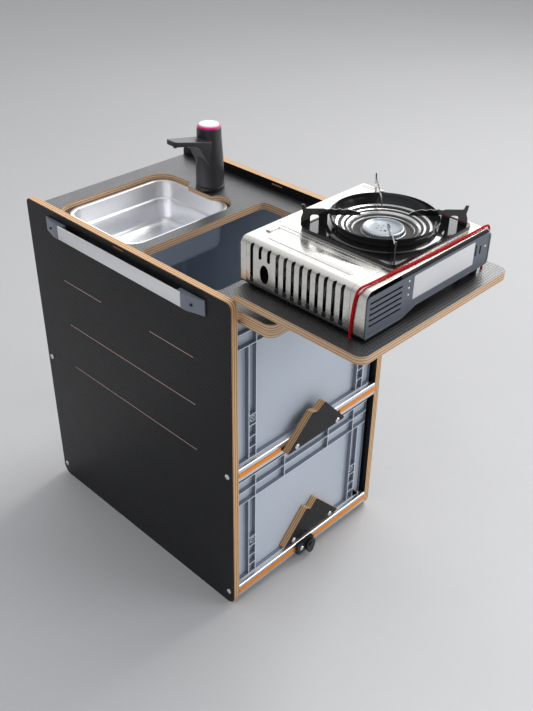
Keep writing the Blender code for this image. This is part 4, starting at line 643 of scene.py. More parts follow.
# Ply: side panels, worktop with its nose, doubler and the stove's board
width = 0.438  # over both side panels
fit = 0.0003  # left free between pieces that touch
plyEase = 0.0007
sidePanel = {"size": (0.605, 0.729), "thick": 0.015, "foot": 0.022, "top": 0.012, "steps": 10,
             "slotY": (0.2875, 0.3175), "slotZ": (0.7205, 0.7235), "slotRadius": 0.0012,
             "through": 0.01, "lineX": (-0.00012, 0.0004), "line": 0.0016, "lineRadius": 0.0006,
             "lines": ((0.577, 0.375, 0.500), (0.577, 0.101, 0.225),  # height, from, to
                       (0.471, 0.100, 0.497), (0.362, 0.101, 0.498))}


def makeSidePanels():
    data = sidePanel
    (depth, height), foot, top = data["size"], data["foot"], data["top"]
    for side, x in (("left", (0, data["thick"])), ("right", (width - data["thick"], width))):
        shape = slab([(0, 0, foot), (depth, 0, foot), (depth, height, top), (0, height, top)],
                     x, "YZ", data["steps"])
        slot = block((x[0] - data["through"], x[1] + data["through"]), data["slotY"],
                     data["slotZ"], data["slotRadius"], "x", 4)
        piece(f"{side}SidePanel", carved(shape, slot), "plyPanel", "pod",
              [f"{side}_side_panel"], plyEase)
    lines = [block(data["lineX"], (y0, y1), (z - data["line"] / 2, z + data["line"] / 2),
                   data["lineRadius"], "x", 3)
             for z, y0, y1 in data["lines"]]
    piece("leftPanelLines", merged(*lines), "copperLine", "pod")


worktop = {
    "x": (0.0153, 0.4227), "y": (0.0005, 0.602), "z": (0.694, 0.709), "nose": (0.021, 0.417),
    "reach": -0.072, "noseRadius": 0.018, "steps": 12, "bin": ((0.037, 0.364),
    (0.075, 0.285), 0.013), "sink": ((0.028, 0.322), (0.311, 0.557), 0.046), "ledge": 0.697,
    "hole": ((0.036, 0.3153), (0.329, 0.5468), 0.038), "tongueX": 0.304, "tongueY": (0.372, 0.464),
    "slope": 0.008, "tongueRadius": 0.008, "tongueLow": 0.6985, "tongueOver": 0.002, "over": 0.004,
    "doublerInset": 0.0015, "doublerBack": 0.008, "doublerZ": (0.6817, 0.6937)}


def makeWorktop():
    data = worktop
    (x0, x1), (front, back), (n0, n1) = data["x"], data["y"], data["nose"]
    reach, noseArc, steps = data["reach"], data["noseRadius"], data["steps"]
    shape = slab([
        (x0, front, 0), (n0, 0, 0), (n0, reach, noseArc), (n1, reach, noseArc), (n1, 0, 0),
        (x1, front, 0), (x1, back, 0), (x0, back, 0)], data["z"], "XY", steps)
    binX, binY, binRadius = data["bin"]
    low, high = data["z"][0] - data["over"], data["z"][1] + data["over"]
    shape = carved(shape, block(binX, binY, (low, high), binRadius, "z", 10))
    holeX, holeY, holeRadius = data["hole"]
    ledge, tongueLow = data["ledge"], data["tongueLow"]
    shape = carved(shape, block(
        holeX, holeY, (low, (ledge + tongueLow) / 2), holeRadius, "z", steps))
    (s0, s1), (y0, y1), radius = data["sink"]
    (t0, t1), corner, slope = data["tongueY"], data["tongueRadius"], data["slope"]
    tip, past = data["tongueX"], data["tongueOver"]
    shape = carved(shape, slab([
        (s0, y0, radius), (s1, y0, radius), (s1, t0, corner), (tip, t0 + slope, corner),
        (tip, t1 - slope, corner), (s1, t1, corner), (s1, y1, radius), (s0, y1, radius)],
        (ledge, high), "XY", steps))
    shape = carved(shape, block(
        (tip - past, s1 - fit), (t0 - past, t1 + past), (ledge, tongueLow)))
    piece("podWorktop", shape, "plyTop", "pod", ["worktop"], plyEase)

    inset = data["doublerInset"]
    doubler = slab([
        (n0 + inset, reach + inset, noseArc), (n1 - inset, reach + inset, noseArc),
        (n1 - inset, data["doublerBack"], 0), (n0 + inset, data["doublerBack"], 0)],
        data["doublerZ"], "XY", steps)
    piece("noseDoubler", doubler, "plyTop", "pod", ["nose_doubler"], plyEase)


board = {
    "x": (0.011, 0.411), "y": (-0.269, 0.017), "z": (0.730, 0.745), "radius": 0.018,
    "pivot": (0.211, -0.030, 0), "recess": 0.0093, "recessDepth": 0.0043, "over": 0.003,
    "cordHole": 0.0025, "cordHoleLow": 0.7345}


def makeBoard():
    data = board
    top, high = data["z"][1], data["z"][1] + data["over"]
    shape = block(data["x"], data["y"], data["z"], data["radius"], "z", 12)
    shape = carved(shape, disc(data["recess"], (top - data["recessDepth"], high), data["pivot"]))
    for x, y, _ in (cord["route"][0], cord["route"][-1]):
        shape = carved(shape, disc(
            data["cordHole"], (data["cordHoleLow"], high), (x, y, 0), steps=20))
    piece("stoveBoard", shape, "plyTop", "stove_board", ["stove_board"], plyEase)


makeSidePanels()
makeWorktop()
makeBoard()
for name, node, body in (("upperStopPlate", "upper_stop_plate", "pod"),
                         ("lowerPullPlate", "lower_pull_plate", "lower_box")):
    piece(name, copied(node), "plyPlate", body, [node], 0.0006)
print("ply ready")

# Rails, their covers, bolts and screws
railEase = 0.0003
for side in ("front", "rear"):
    for height in ("bottom", "middle"):
        piece(f"rail{side.title()}{height.title()}", copied(f"rail_{side}_{height}"),
              "railMetal", "pod", [f"rail_{side}_{height}"], railEase)
covers = [f"slot_cover_{height}_{side}" for height in ("middle", "bottom")
          for side in ("left", "right")]
piece("slotCovers", merged(*[copied(node) for node in covers]), "orangePlastic",
      "pod", covers, railEase)

bolt = {
    "head": 0.0060, "high": 0.0034, "rim": 0.0008, "flatShare": 0.35, "shank": 0.0030,
    "socket": 0.0021, "socketDepth": 0.0018, "domeTurns": (0.0, 0.3, 0.6, 0.9, 1.12),
    "railY": {"front": 0.015, "rear": 0.590}, "railZ": {"bottom": 0.032, "middle": 0.3462},
    "railLength": 0.038}
# Bolts in the plates: where each one is in x, the face they sit on, height and length
plateBolts = {
    "stopPlate": ((0.160, 0.2815), -0.0153, 0.3462, 0.0178),
    "pullPlate": ((0.182, 0.300), 0.0037, 0.0596, 0.0205),
    "catch": ((0.197,), -0.008, 0.032, 0.0104)}


def buttonBolt(seat, axis, length):
    data = bolt
    top = fit + data["high"]
    dome = [(data["head"] * math.cos(angle), fit + data["rim"] + (data["high"] - data["rim"])
             * math.sin(angle)) for angle in data["domeTurns"]]
    shape = lathe([(0, top), (data["head"] * data["flatShare"], top), *dome[::-1],
                   (data["head"], fit), (data["shank"], fit), (data["shank"], -length),
                   (0, -length)], steps=32)
    key = bmesh.new()
    bmesh.ops.create_cone(
        key, cap_ends=True, segments=6, radius1=data["socket"], radius2=data["socket"],
        depth=data["socketDepth"] * 2, matrix=Matrix.Translation((0, 0, top)))
    shape = carved(shape, key)
    return moved(shape, seat, turned(axis))


def makeBolts():
    shapes = []
    replaced = []
    for height, z in bolt["railZ"].items():
        for side, y in bolt["railY"].items():
            for face, x, axis in (("left", 0, "-X"), ("right", width, "X")):
                shapes.append(buttonBolt((x, y, z), axis, bolt["railLength"]))
                replaced.append(f"panel_bolt_{face}_{side}_{height}")
    piece("panelBolts", merged(*shapes), "boltZinc", "pod", replaced, 0, sharp=30)
    for name, place, body, replaced in (
            ("stopPlateBolts", "stopPlate", "pod", ["stop_plate_bolt_left",
                                                    "stop_plate_bolt_right"]),
            ("pullPlateScrews", "pullPlate", "lower_box", ["pull_plate_screw_left",
                                                           "pull_plate_screw_right"]),
            ("catchBolt", "catch", "pod", ["catch_bolt"])):
        places, face, z, length = plateBolts[place]
        shapes = [buttonBolt((x, face, z), "-Y", length) for x in places]
        piece(name, merged(*shapes), "boltZinc", body, replaced, sharp=30)


makeBolts()
piece("catchBase", copied("catch_base"), "blackPlastic", "pod",
      ["catch_base"], 0.0007, 3)
piece("turnCatch", copied("catch_lobe"), "blackPlastic", "turn_catch",
      ["catch_lobe"], 0.0010, 3)
print("rails and bolts ready")

# Stacking boxes, with the crossed rings in their cells
boxes = {
    "feet": {"upper_box": 0.3615, "lower_box": 0.0473}, "ease": 0.0007, "ring": (0.0052, 0.0072),
    "ringY": (-0.0192, -0.0105), "arm": 0.0012, "armReach": 0.0095, "armY": (0.011, 0.0192),
    "cellX": (0.0625, 0.3755), "cellRise": 0.0925, "starEase": 0.0002}


def makeBoxes():
    data = boxes
    for node, foot in data["feet"].items():
        name = node.split("_")[0] + "Box"
        piece(name, copied(node), "boxPlastic", node, [node], data["ease"])
        stars = []
        for x in data["cellX"]:
            centre = (x, 0, foot + data["cellRise"])
            stars.append(hoop(data["ring"], data["ringY"], centre, "-Y", 28))
            for angle in (math.pi / 4, -math.pi / 4):
                arm = block((-data["armReach"], data["armReach"]), data["armY"],
                            (-data["arm"] / 2, data["arm"] / 2))
                stars.append(moved(arm, centre, Matrix.Rotation(angle, 4, "Y")))
        piece(name + "Stars", merged(*stars), "boxPlastic", node,
              bevel=data["starEase"])


makeBoxes()
print("boxes ready")

# Sink pan: one rounded sheet, inset and pushed down ring by ring
pan = {"x": (0.047, 0.3205), "y": (0.324, 0.552), "top": 0.6982, "corner": 0.042,
       "sheet": 0.0009, "rings": (  # how far in, how far down
           (0.0005, 0.0), (0.0054, 0.0), (0.0009, -0.0002), (0.0008, -0.0007),
           (0.0004, -0.0012), (0.0016, -0.0355), (0.0006, -0.0012), (0.0030, -0.0014),
           (0.0006, -0.0012), (0.0030, -0.0330)),
       "floorRadius": 0.020, "floorTurns": 9, "floorRing": (0.003, -0.0002)}


def makePan():
    data = pan
    shape = flatFace(rectangle(data["x"], data["y"], data["corner"]), data["top"], "XY", 14)
    if list(shape.faces)[0].normal.z < 0:
        bmesh.ops.reverse_faces(shape, faces=list(shape.faces))
    rings = list(data["rings"])
    turns, radius = data["floorTurns"], data["floorRadius"]
    for ring in range(turns):
        start, end = [math.pi / 2 * value / turns for value in (ring, ring + 1)]
        rings.append((radius * (math.cos(start) - math.cos(end)),
                      -radius * (math.sin(end) - math.sin(start))))
    rings.append(data["floorRing"])
    face = list(shape.faces)[0]
    for inset, drop in rings:
        bmesh.ops.inset_individual(
            shape, faces=[face], thickness=inset, depth=drop, use_even_offset=True)
    item = piece("sinkPan", shape, "panSteel", "sink_pan", ["sink_pan"], sharp=60)
    wall = item.modifiers.new("sheet", "SOLIDIFY")
    wall.thickness = data["sheet"]
    wall.offset = -1
    wall.use_even_offset = True


makePan()

# Handles
handle = {
    "barEase": 0.0008, "capEase": 0.0011, "out": 0.0105, "screwY": (0.089, 0.508), "screwZ": 0.696,
    "screw": ((0, 0.0022), (0.0022, 0.0018), (0.0026, 0.0010), (0.0026, 0), (0, 0))}


def makeHandles():
    data = handle
    for side, x, axis in (("left", -data["out"], "-X"), ("right", width + data["out"], "X")):
        piece(f"{side}HandleBar", copied(f"handle_bar_{side}"), "handleMetal",
              "pod", [f"handle_bar_{side}"], data["barEase"], 3)
        ends = [f"handle_cap_{side}_{end}" for end in ("front", "rear")]
        piece(f"{side}HandleCaps", merged(*[copied(node) for node in ends]), "capPlastic",
              "pod", ends, data["capEase"], 3)
        screws = [lathe(data["screw"], (x, y, data["screwZ"]), axis, 20)
                  for y in data["screwY"]]
        piece(f"{side}HandleScrews", merged(*screws), "innerBlack", "pod")


makeHandles()
print("pan and handles ready")

# Tap: a turned body and a flat spout, melted together. Profiles are (radius, height).
tap = {
    "centre": (0.336, 0.418, 0), "high": 0.843, "low": 0.7186, "side": ( (0.0256, 0.843),
    (0.0261, 0.825), (0.0271, 0.806), (0.0284, 0.788), (0.0294, 0.766), (0.0300, 0.742),
    (0.0303, 0.7186)), "base": ((0, 0.7183), (0.0300, 0.7183), (0.0310, 0.7173), (0.0310, 0.7093),
    (0.008, 0.7093), (0.008, 0.6855), (0, 0.6855)), "ring": ((0.0214, 0.8470), (0.0228, 0.8472),
    (0.0238, 0.8465), (0.0241, 0.8450), (0.0240, 0.8433), (0.0214, 0.8433)),
    "button": ((0, 0.8488), (0.0132, 0.8490), (0.0165, 0.8494), (0.0195, 0.8495), (0.0206, 0.8490),
    (0.0210, 0.8480), (0.0210, 0.8414), (0, 0.8414)), "voxel": 0.0009, "ease": 0.0005}
spout = {"tip": 0.231, "top": 0.8388, "tipHigh": 0.0115, "tipRadius": 0.0025, "chin": 0.001,
         "chinRadius": 0.004, "slope": 0.22, "bend": (0.046, 0.011, 0.025),
         "root": (0.020, 0.047), "rootLow": 0.051, "half": (0.0135, 0.0248), "wide": 0.03,
         "planRadius": 0.006, "planZ": (-0.10, 0.01), "nozzleHigh": 0.830,
         "nozzles": ((0.0058, 0.8225, 0.013), (0.0036, 0.8200, 0.0125))}  # radius, foot, reach


def spoutShape():
    data = spout
    x, y = tap["centre"][:2]
    tip, top, under = data["tip"], data["top"], data["top"] - data["tipHigh"]
    root = top - (x - tip) * data["slope"]
    back, sink, arc = data["bend"]
    side = slab([
        (x, root, 0), (tip, top, data["tipRadius"]), (tip + data["chin"], under, data["chinRadius"]),
        (x - back, under - sink, arc), (x - data["root"][0], root - data["root"][1], 0),
        (x, root - data["rootLow"], 0)], (y - data["wide"], y + data["wide"]), "XZ", 8)
    near, far = data["half"]
    plan = slab([
        (tip, y - near, data["planRadius"]), (x, y - far, 0), (x, y + far, 0),
        (tip, y + near, data["planRadius"])],
        (top + data["planZ"][0], top + data["planZ"][1]), "XY", 8)
    return carved(side, plan, "INTERSECT")


def makeTap():
    data = tap
    x, y = data["centre"][:2]
    shape = lathe([(0, data["high"]), *data["side"], (0, data["low"])], data["centre"], steps=96)
    nozzle = merged(*[
        disc(radius, (low, spout["nozzleHigh"]), (spout["tip"] + reach, y, 0), steps=32)
        for radius, low, reach in spout["nozzles"]])
    shape = carved(carved(shape, spoutShape(), "UNION"), carved(nozzle, bmesh.new(), "UNION"),
                   "UNION")
    item = piece("tapBody", shape, "tapPlastic", "pod", ["tap_body"], sharp=80)
    melt = item.modifiers.new("melt", "REMESH")
    melt.mode = "VOXEL"
    melt.voxel_size = data["voxel"]
    melt.use_smooth_shade = True
    ease = item.modifiers.new("ease", "SMOOTH")
    ease.factor = 0.5
    ease.iterations = 5
    graph = bpy.context.evaluated_depsgraph_get()
    old = item.data
    item.data = bpy.data.meshes.new_from_object(item.evaluated_get(graph))
    item.modifiers.clear()
    item.data.name = "tapBody"
    bpy.data.meshes.remove(old)

    piece("tapBase", lathe(data["base"], data["centre"]), "blackPlastic",
          "pod", ["tap_base"], data["ease"])
    piece("tapNut", copied("tap_nut"), "blackPlastic", "pod", ["tap_nut"],
          data["ease"])
    piece("tapLightRing", lathe(data["ring"], data["centre"], closed=True), "pinkLight",
          "pod", ["tap_light_ring"], sharp=60)
    piece("tapButton", lathe(data["button"], data["centre"]), "buttonWhite",
          "tap_button", ["tap_button"], sharp=50)


makeTap()

# Swivel under the stove's board
swivel = {
    "bore": 0.0043, "base": (0.034, (0.7093, 0.7195)), "plate": (0.030, (0.7198, 0.7297)),
    "ease": 0.0008, "bolt": ((0, 0.7447), (0.0086, 0.7447), (0.009, 0.7443), (0.009, 0.7410),
    (0.004, 0.7410), (0.004, 0.6731), (0, 0.6731))}
for name, part, node, body in (("swivelBase", "base", "swivel_base", "pod"),
                               ("swivelPlate", "plate", "swivel_plate", "stove_board")):
    outer, span = swivel[part]
    piece(name, hoop((swivel["bore"], outer), span, board["pivot"]), "discSteel", body,
          [node], swivel["ease"], 3)
piece("pivotBolt", lathe(swivel["bolt"], board["pivot"], steps=32), "boltZinc", "pod",
      ["pivot_bolt"])
piece("pivotNut", copied("pivot_nut"), "boltZinc", "pod", ["pivot_nut"], 0.0005)
print("tap and swivel ready")

# Gas stove
stove = {
    "x": (0.047, 0.376), "y": (-0.240, 0.025), "top": 0.830, "low": 0.7523, "raised": 0.762,
    "sheet": 0.0015, "leftRadius": 0.014, "rightRadius": 0.018, "bay": 0.130,
    "lidY": (-0.2095, 0.0120), "bayLow": 0.745, "over": 0.002, "bowl": (0.060, 0.003),
    "ease": 0.0004, "bead": 0.0009, "beadX": (0.3505, 0.3565), "beadInset": 0.004, "seamX": 0.1345,
    "seam": 0.0008, "seamInset": (0.002, 0.003), "feet": ((0.355, -0.229), (0.355, 0.012)),
    "footEase": 0.0006, "foot": ((0, 0.0177), (0.0095, 0.0177), (0.0075, 0.0005), (0, 0.0005))}


def sheetOutline(rightLow):
    data = stove
    t = data["sheet"]
    (left, right), top, low = data["x"], data["top"], data["low"]
    return [
        (left, low, 0), (left + t, low, 0), (left + t, top - t, data["leftRadius"] - t),
        (right - t, top - t, data["rightRadius"] - t), (right - t, rightLow, 0),
        (right, rightLow, 0), (right, top, data["rightRadius"]), (left, top, data["leftRadius"])]


# A pressed line: a low half-round rib along y with round ends.
def bead(x, y, z, radius):
    shape = block((x - radius * 1.6, x + radius * 1.6), y, (z - radius, z + radius * 0.8),
                  radius, "z", 5)
    crown = [edge for edge in shape.edges
             if edge.calc_face_angle(0) > sharpTurn and all(vert.co.z > z for vert in edge.verts)]
    return bevelEdges(shape, crown, radius * 0.75, 3)


def makeSkin():
    data = stove
    top, over, (y0, y1) = data["top"], data["over"], data["lidY"]
    shape = slab(sheetOutline(data["raised"]), data["y"], "XZ", 12)
    shape = carved(shape, block((data["x"][0] - over, data["bay"] + fit), (y0 - fit, y1 + fit),
                                (data["bayLow"], top + over)))
    radius, depth = data["bowl"]
    shape = carved(shape, disc(radius, (top - depth, top + over), burner["centre"]))
    piece("stoveSkin", shape, "stoveChrome", "stove_board", ["stove_skin"],
          data["ease"])
    front, back = data["y"]
    inset = data["beadInset"]
    lines = [bead(x, (front + inset, back - inset), top, data["bead"]) for x in data["beadX"]]
    near, far = data["seamInset"]
    lines.append(bead(data["seamX"], (y1 + near, back - far), top, data["seam"]))
    piece("stoveSkinLines", merged(*lines), "stoveChrome", "stove_board")


lid = {
    "slotPitch": 0.017, "slot": 0.0068, "slotSpread": 0.0021, "slots": 12, "firstSlot": -0.0006,
    "short": (1, 2), "slotLow": 0.7585, "shortLow": 0.803, "slotOver": 0.0050,
    "slotRoundShare": 0.42, "hinge": (0.0485, 0.7538), "roll": 0.0015,
    "hole": (0.010, (-0.004, 0.01)), "holeAt": (-0.0296, 0.779), "holeStretch": 1.7,
    "ease": 0.0007, "stripX": (-0.0007, 0.0003), "stripZ": (0.0011, 0.0027), "stripRadius": 0.001,
    "scallopRise": 0.0065, "scallop": ((0, 0.0007), (0.0040, 0.0005), (0.0052, -0.0002),
    (0, -0.0002)), "lineX": (0.1155, 0.1245), "lineInset": 0.003, "sink": 0.0005,
    "panelX": (0.0735, 0.1070), "panelY": (-0.188, -0.008), "panelHigh": 0.0006,
    "panelRadius": 0.006, "panelEase": 0.0003, "clipX": (0.090, 0.118), "clipY": (0.0015, 0.0112),
    "clipHigh": 0.0024, "clipRadius": 0.003, "clipEase": 0.0008}


# The slots stand wider apart beside the round hole.
def slotY(index):
    return lid["firstSlot"] - index * lid["slotPitch"] - min(index, 3) * lid["slotSpread"]


def slotCut(index, left):
    data = lid
    y, half = slotY(index), data["slot"] / 2
    low = data["shortLow"] if index in data["short"] else data["slotLow"]
    cut = block((left - stove["over"], left + data["slotOver"]), (y - half, y + half),
                (low, stove["top"] + stove["over"]))
    ends = []
    for line in cut.edges:
        first, second = [vert.co for vert in line.verts]
        upright = abs(first.z - second.z) > data["slot"]
        across = abs(first.x - second.x) > half
        if upright and first.x > left or across and max(first.z, second.z) < low + half:
            ends.append(line)
    return bevelEdges(cut, ends, data["slot"] * data["slotRoundShare"], 5)


def makeLid():
    data = lid
    t, left, top, bay = stove["sheet"], stove["x"][0], stove["top"], stove["bay"]
    y0, y1 = stove["lidY"]
    hingeX, edge = data["hinge"]
    shape = slab([
        (left, edge, 0), (left + t, edge, 0), (left + t, top - t, stove["leftRadius"] - t),
        (bay, top - t, 0), (bay, top, 0), (left, top, stove["leftRadius"])], (y0, y1), "XZ", 12)
    shape = carved(shape, disc(data["roll"], (-y1, -y0), (hingeX, 0, edge), "-Y", 20), "UNION")
    hole = disc(*data["hole"], axis="-X", steps=32)
    moved(hole, (left, *data["holeAt"]), Matrix.Diagonal((1, 1, data["holeStretch"], 1)))
    for cut in (*[slotCut(index, left) for index in range(data["slots"])], hole):
        shape = carved(shape, cut)
    piece("cartridgeLid", shape, "stoveChrome", "cartridge_lid",
          ["cartridge_lid"], data["ease"], 3)
    foot = [block([left + x for x in data["stripX"]], (y0, y1),
                  [edge + z for z in data["stripZ"]], data["stripRadius"], "y", 3)]
    for index in range(data["slots"]):
        if index not in data["short"]:
            foot.append(lathe(data["scallop"], (left, slotY(index), edge + data["scallopRise"]),
                              "-X", 20))
    piece("lidFoot", merged(*foot), "innerBlack", "cartridge_lid")
    inset, low = data["lineInset"], top - data["sink"]
    lines = [bead(x, (y0 + inset, y1 - inset), top, stove["bead"]) for x in data["lineX"]]
    lines.append(block(data["panelX"], data["panelY"], (low, top + data["panelHigh"]),
                       data["panelRadius"], "z", 6, data["panelEase"]))
    piece("cartridgeLidLines", merged(*lines), "stoveChrome", "cartridge_lid")
    clip = block(data["clipX"], data["clipY"], (low, top + data["clipHigh"]),
                 data["clipRadius"], "z", 5, data["clipEase"])
    piece("cartridgeLidClip", clip, "burnerChrome", "cartridge_lid")


stoveEnd = {
    "y": (-0.2430, -0.2403), "foot": 0.750, "arch": (0.138, 0.172), "low": 0.7605, "high": 0.8212,
    "radii": (0.002, 0.012, 0.012, 0.009, 0.009, 0.007), "rim": 0.003, "pocket": 0.0008,
    "over": 0.004, "ease": 0.0003, "ventX": (0.0550, 0.1335), "ventLow": 0.7685,
    "ventPitch": 0.0098, "vent": 0.0038, "vents": 5, "ventRadius": 0.0016, "hoodInset": 0.001,
    "hood": (0.0002, 0.0020), "hoodDeep": 0.0016, "hoodRadius": 0.0008,
    "slots": ((0.3340, 0.788, 0.8095), (0.3475, 0.788, 0.8040)), "slotHalf": 0.002,
    "slotRadius": 0.0019, "label": ((0.162, 0.3285), (0.775, 0.817)), "labelDeep": (0.0002, 0.001),
    "labelRadius": 0.002, "labelEase": 0.0002, "rivet": ((0, 0.0009), (0.0012, 0.0007),
    (0.0020, 0.0002), (0.0022, -0.0006), (0, -0.0006)), "rivets": ((0.150, 0.812), (0.150, 0.800),
    (0.150, 0.788), (0.362, 0.798))}
control = {
    "y": (0.0253, 0.0273), "leverX": (0.1477, 0.1523), "leverZ": (0.7822, 0.8078),
    "leverRadius": 0.002, "over": 0.01, "bore": 0.0043, "knobAt": (0.340, 0.792),
    "knobBack": 0.0276, "ease": 0.0004, "profile": ( (0, 0.0100), (0.0170, 0.0100),
    (0.0188, 0.0094), (0.0198, 0.0080), (0.0200, 0.0060), (0.0196, 0.0), (0.004, 0.0),
    (0.004, -0.0117), (0, -0.0117)), "grip": (0.0035, (0.0370, 0.0430), 0.0165),
    "gripRadius": 0.0025, "gripEase": 0.0008, "flutes": 24, "flute": (0.0007, (0.0300, 0.0365),
    (0.0192, 0.0206)), "knobEase": 0.0003}


def endOutline(inset=0.0):
    (left, right), data = stove["x"], stoveEnd
    (near, far), foot, low = data["arch"], data["foot"] + inset, data["low"] + inset
    high = data["high"] - inset
    places = [(left + inset, foot), (near - inset, foot), (far - inset, low),
              (right - inset, low), (right - inset, high), (left + inset, high)]
    return [(x, z, radius) for (x, z), radius in zip(places, data["radii"])]


def makeEndPanel():
    data = stoveEnd
    front, back = data["y"]
    shape = slab(endOutline(), data["y"], "XZ", 6)
    shape = carved(shape, slab(
        endOutline(data["rim"]), (front - stove["over"], front + data["pocket"]), "XZ", 6))
    through = (front - data["over"], back + data["over"])
    cuts = []
    hoods = []
    x0, x1 = data["ventX"]
    for index in range(data["vents"]):
        z = data["ventLow"] + index * data["ventPitch"]
        top = z + data["vent"]
        cuts.append(block((x0, x1), through, (z, top), data["ventRadius"], "y", 5))
        hoods.append(block(
            (x0 + data["hoodInset"], x1 - data["hoodInset"]), (front, front + data["hoodDeep"]),
            (top + data["hood"][0], top + data["hood"][1]), data["hoodRadius"], "x", 3))
    for x, low, high in data["slots"]:
        cuts.append(block((x - data["slotHalf"], x + data["slotHalf"]), through, (low, high),
                          data["slotRadius"], "y", 5))
    piece("stoveEndPanel", carved(shape, merged(*cuts)), "stovePaint",
          "stove_board", ["stove_end_panel"], data["ease"])
    piece("ventHoods", merged(*hoods), "stovePaint", "stove_board")
    labelX, labelZ = data["label"]
    label = block(labelX, [front + deep for deep in data["labelDeep"]], labelZ,
                  data["labelRadius"], "y", 4, data["labelEase"])
    piece("barePlate", label, "labelPlate", "stove_board")
    rivets = [lathe(data["rivet"], (x, front + data["pocket"], z), "-Y", 16)
              for x, z in data["rivets"]]
    piece("endRivets", merged(*rivets), "boltZinc", "stove_board")


def makeControls():
    data = control
    over, (x, z) = data["over"], data["knobAt"]
    near, far = data["y"]
    shape = slab(endOutline(), data["y"], "XZ", 6)
    shape = carved(shape, block(data["leverX"], (near - over, far + over), data["leverZ"],
                                data["leverRadius"], "y", 4))
    shape = carved(shape, disc(data["bore"], (-over, over), (x, near, z), "Y", 24))
    piece("stoveControlPanel", shape, "stovePaint", "stove_board",
          ["stove_control_panel"], data["ease"])

    knob = lathe(data["profile"], (x, data["knobBack"], z), "Y")
    half, gripY, reach = data["grip"]
    grip = block((x - half, x + half), gripY, (z - reach, z + reach), data["gripRadius"], "y", 4,
                 data["gripEase"])
    half, fluteY, fluteZ = data["flute"]
    flutes = []
    for index in range(data["flutes"]):
        turn = Matrix.Rotation(math.tau * index / data["flutes"], 4, "Y")
        flutes.append(moved(block((-half, half), fluteY, fluteZ), (x, 0, z), turn))
    knob = carved(merged(carved(knob, grip, "UNION")), merged(*flutes))
    piece("burnerKnob", knob, "blackPlastic", "control_knob", ["control_knob"],
          data["knobEase"])
    piece("cartridgeLever", copied("cartridge_lever"), "blackPlastic",
          "cartridge_lever", ["cartridge_lever"], 0.0008, 3)


# Heights in the head's profile and marks are from its rim, those of the bowl from the floor.
burner = {"centre": (0.234, -0.122, 0), "rim": 0.8355, "profile": (
    (0, -0.0042), (0.012, -0.0042), (0.0240, -0.0036), (0.0285, -0.0026), (0.0312, -0.0006),
    (0.0328, 0), (0.0348, -0.0005), (0.0359, -0.0020), (0.0360, -0.0060), (0.0366, -0.0066),
    (0.0378, -0.0070), (0.0378, -0.0080), (0.0330, -0.0120), (0.0300, -0.0160), (0, -0.0160)),
    "slits": 48, "slit": ((0.0350, 0.0362), (-0.0006, 0.0006), (-0.0058, -0.0024)),
    "dish": -0.0042, "holeDepth": (-0.001, 0.0002), "holes": (  # across, along, radius
        (-0.004, -0.007, 0.0026), (0.0028, -0.0095, 0.0024), (0.0075, -0.004, 0.0016),
        (-0.009, -0.002, 0.0015), (0.001, 0.004, 0.0012), (0.009, 0.006, 0.0011),
        (-0.006, 0.009, 0.0011), (0.004, 0.013, 0.0010), (0.014, 0.001, 0.0010)),
    "bowl": ((0.0300, 0.8235), (0.0440, 0.8240), (0.0460, 0.8262), (0.0505, 0.8280),
             (0.0520, 0.8300), (0.0575, 0.8312), (0.0592, 0.8335), (0.0640, 0.8348),
             (0.0700, 0.8362), (0.0760, 0.8378), (0.0806, 0.8392)), "sheet": (0.0006, 0.0010),
    "grooves": (  # inner, outer, height
        (0.0382, 0.0437, 0.8256), (0.0522, 0.0566, 0.8324), (0.0470, 0.0502, 0.8291),
        (0.0618, 0.0662, 0.8362), (0.0700, 0.0760, 0.8386)),
    "grooveRise": 0.0004, "grooveDeep": 0.0012}


# The shapes spread evenly round the burner's axis.
def turnedCopies(shapes, offset=0.0):
    for index, shape in enumerate(shapes):
        angle = math.tau * (index + offset) / len(shapes)
        moved(shape, burner["centre"], Matrix.Rotation(angle, 4, "Z"))
    return shapes


def makeBurner():
    data = burner
    centre, rim = data["centre"], data["rim"]
    x, y = centre[:2]
    head = lathe([(radius, rim + rise) for radius, rise in data["profile"]], centre, steps=96)
    piece("burnerHead", head, "headSteel", "stove_board", ["burner_head"], sharp=50)
    # The ports are black marks on the head: painted shade for the openings.
    slitX, slitY, slitZ = data["slit"]
    marks = turnedCopies([block(slitX, slitY, [rim + rise for rise in slitZ])
                          for _ in range(data["slits"])])
    span = [rim + data["dish"] + rise for rise in data["holeDepth"]]
    marks += [disc(radius, span, (x + across, y + along, 0), steps=16)
              for across, along, radius in data["holes"]]
    piece("burnerPorts", merged(*marks), "innerBlack", "stove_board")

    inward, upward = data["sheet"]
    over = [(radius - inward, height + upward) for radius, height in data["bowl"]]
    piece("burnerBowl", lathe([*over, *data["bowl"][::-1]], centre, steps=96, closed=True),
          "burnerChrome", "stove_board", ["burner_bowl"], sharp=40)
    # The grooves are black rings on the bowl: painted shade in the hollows.
    rise, deep = data["grooveRise"], data["grooveDeep"]
    rings = [lathe([(inner, height), (outer, height + rise), (outer, height + rise - deep),
                    (inner, height - deep)], centre, steps=96, closed=True)
             for inner, outer, height in data["grooves"]]
    piece("burnerGrooves", merged(*rings), "innerBlack", "stove_board")


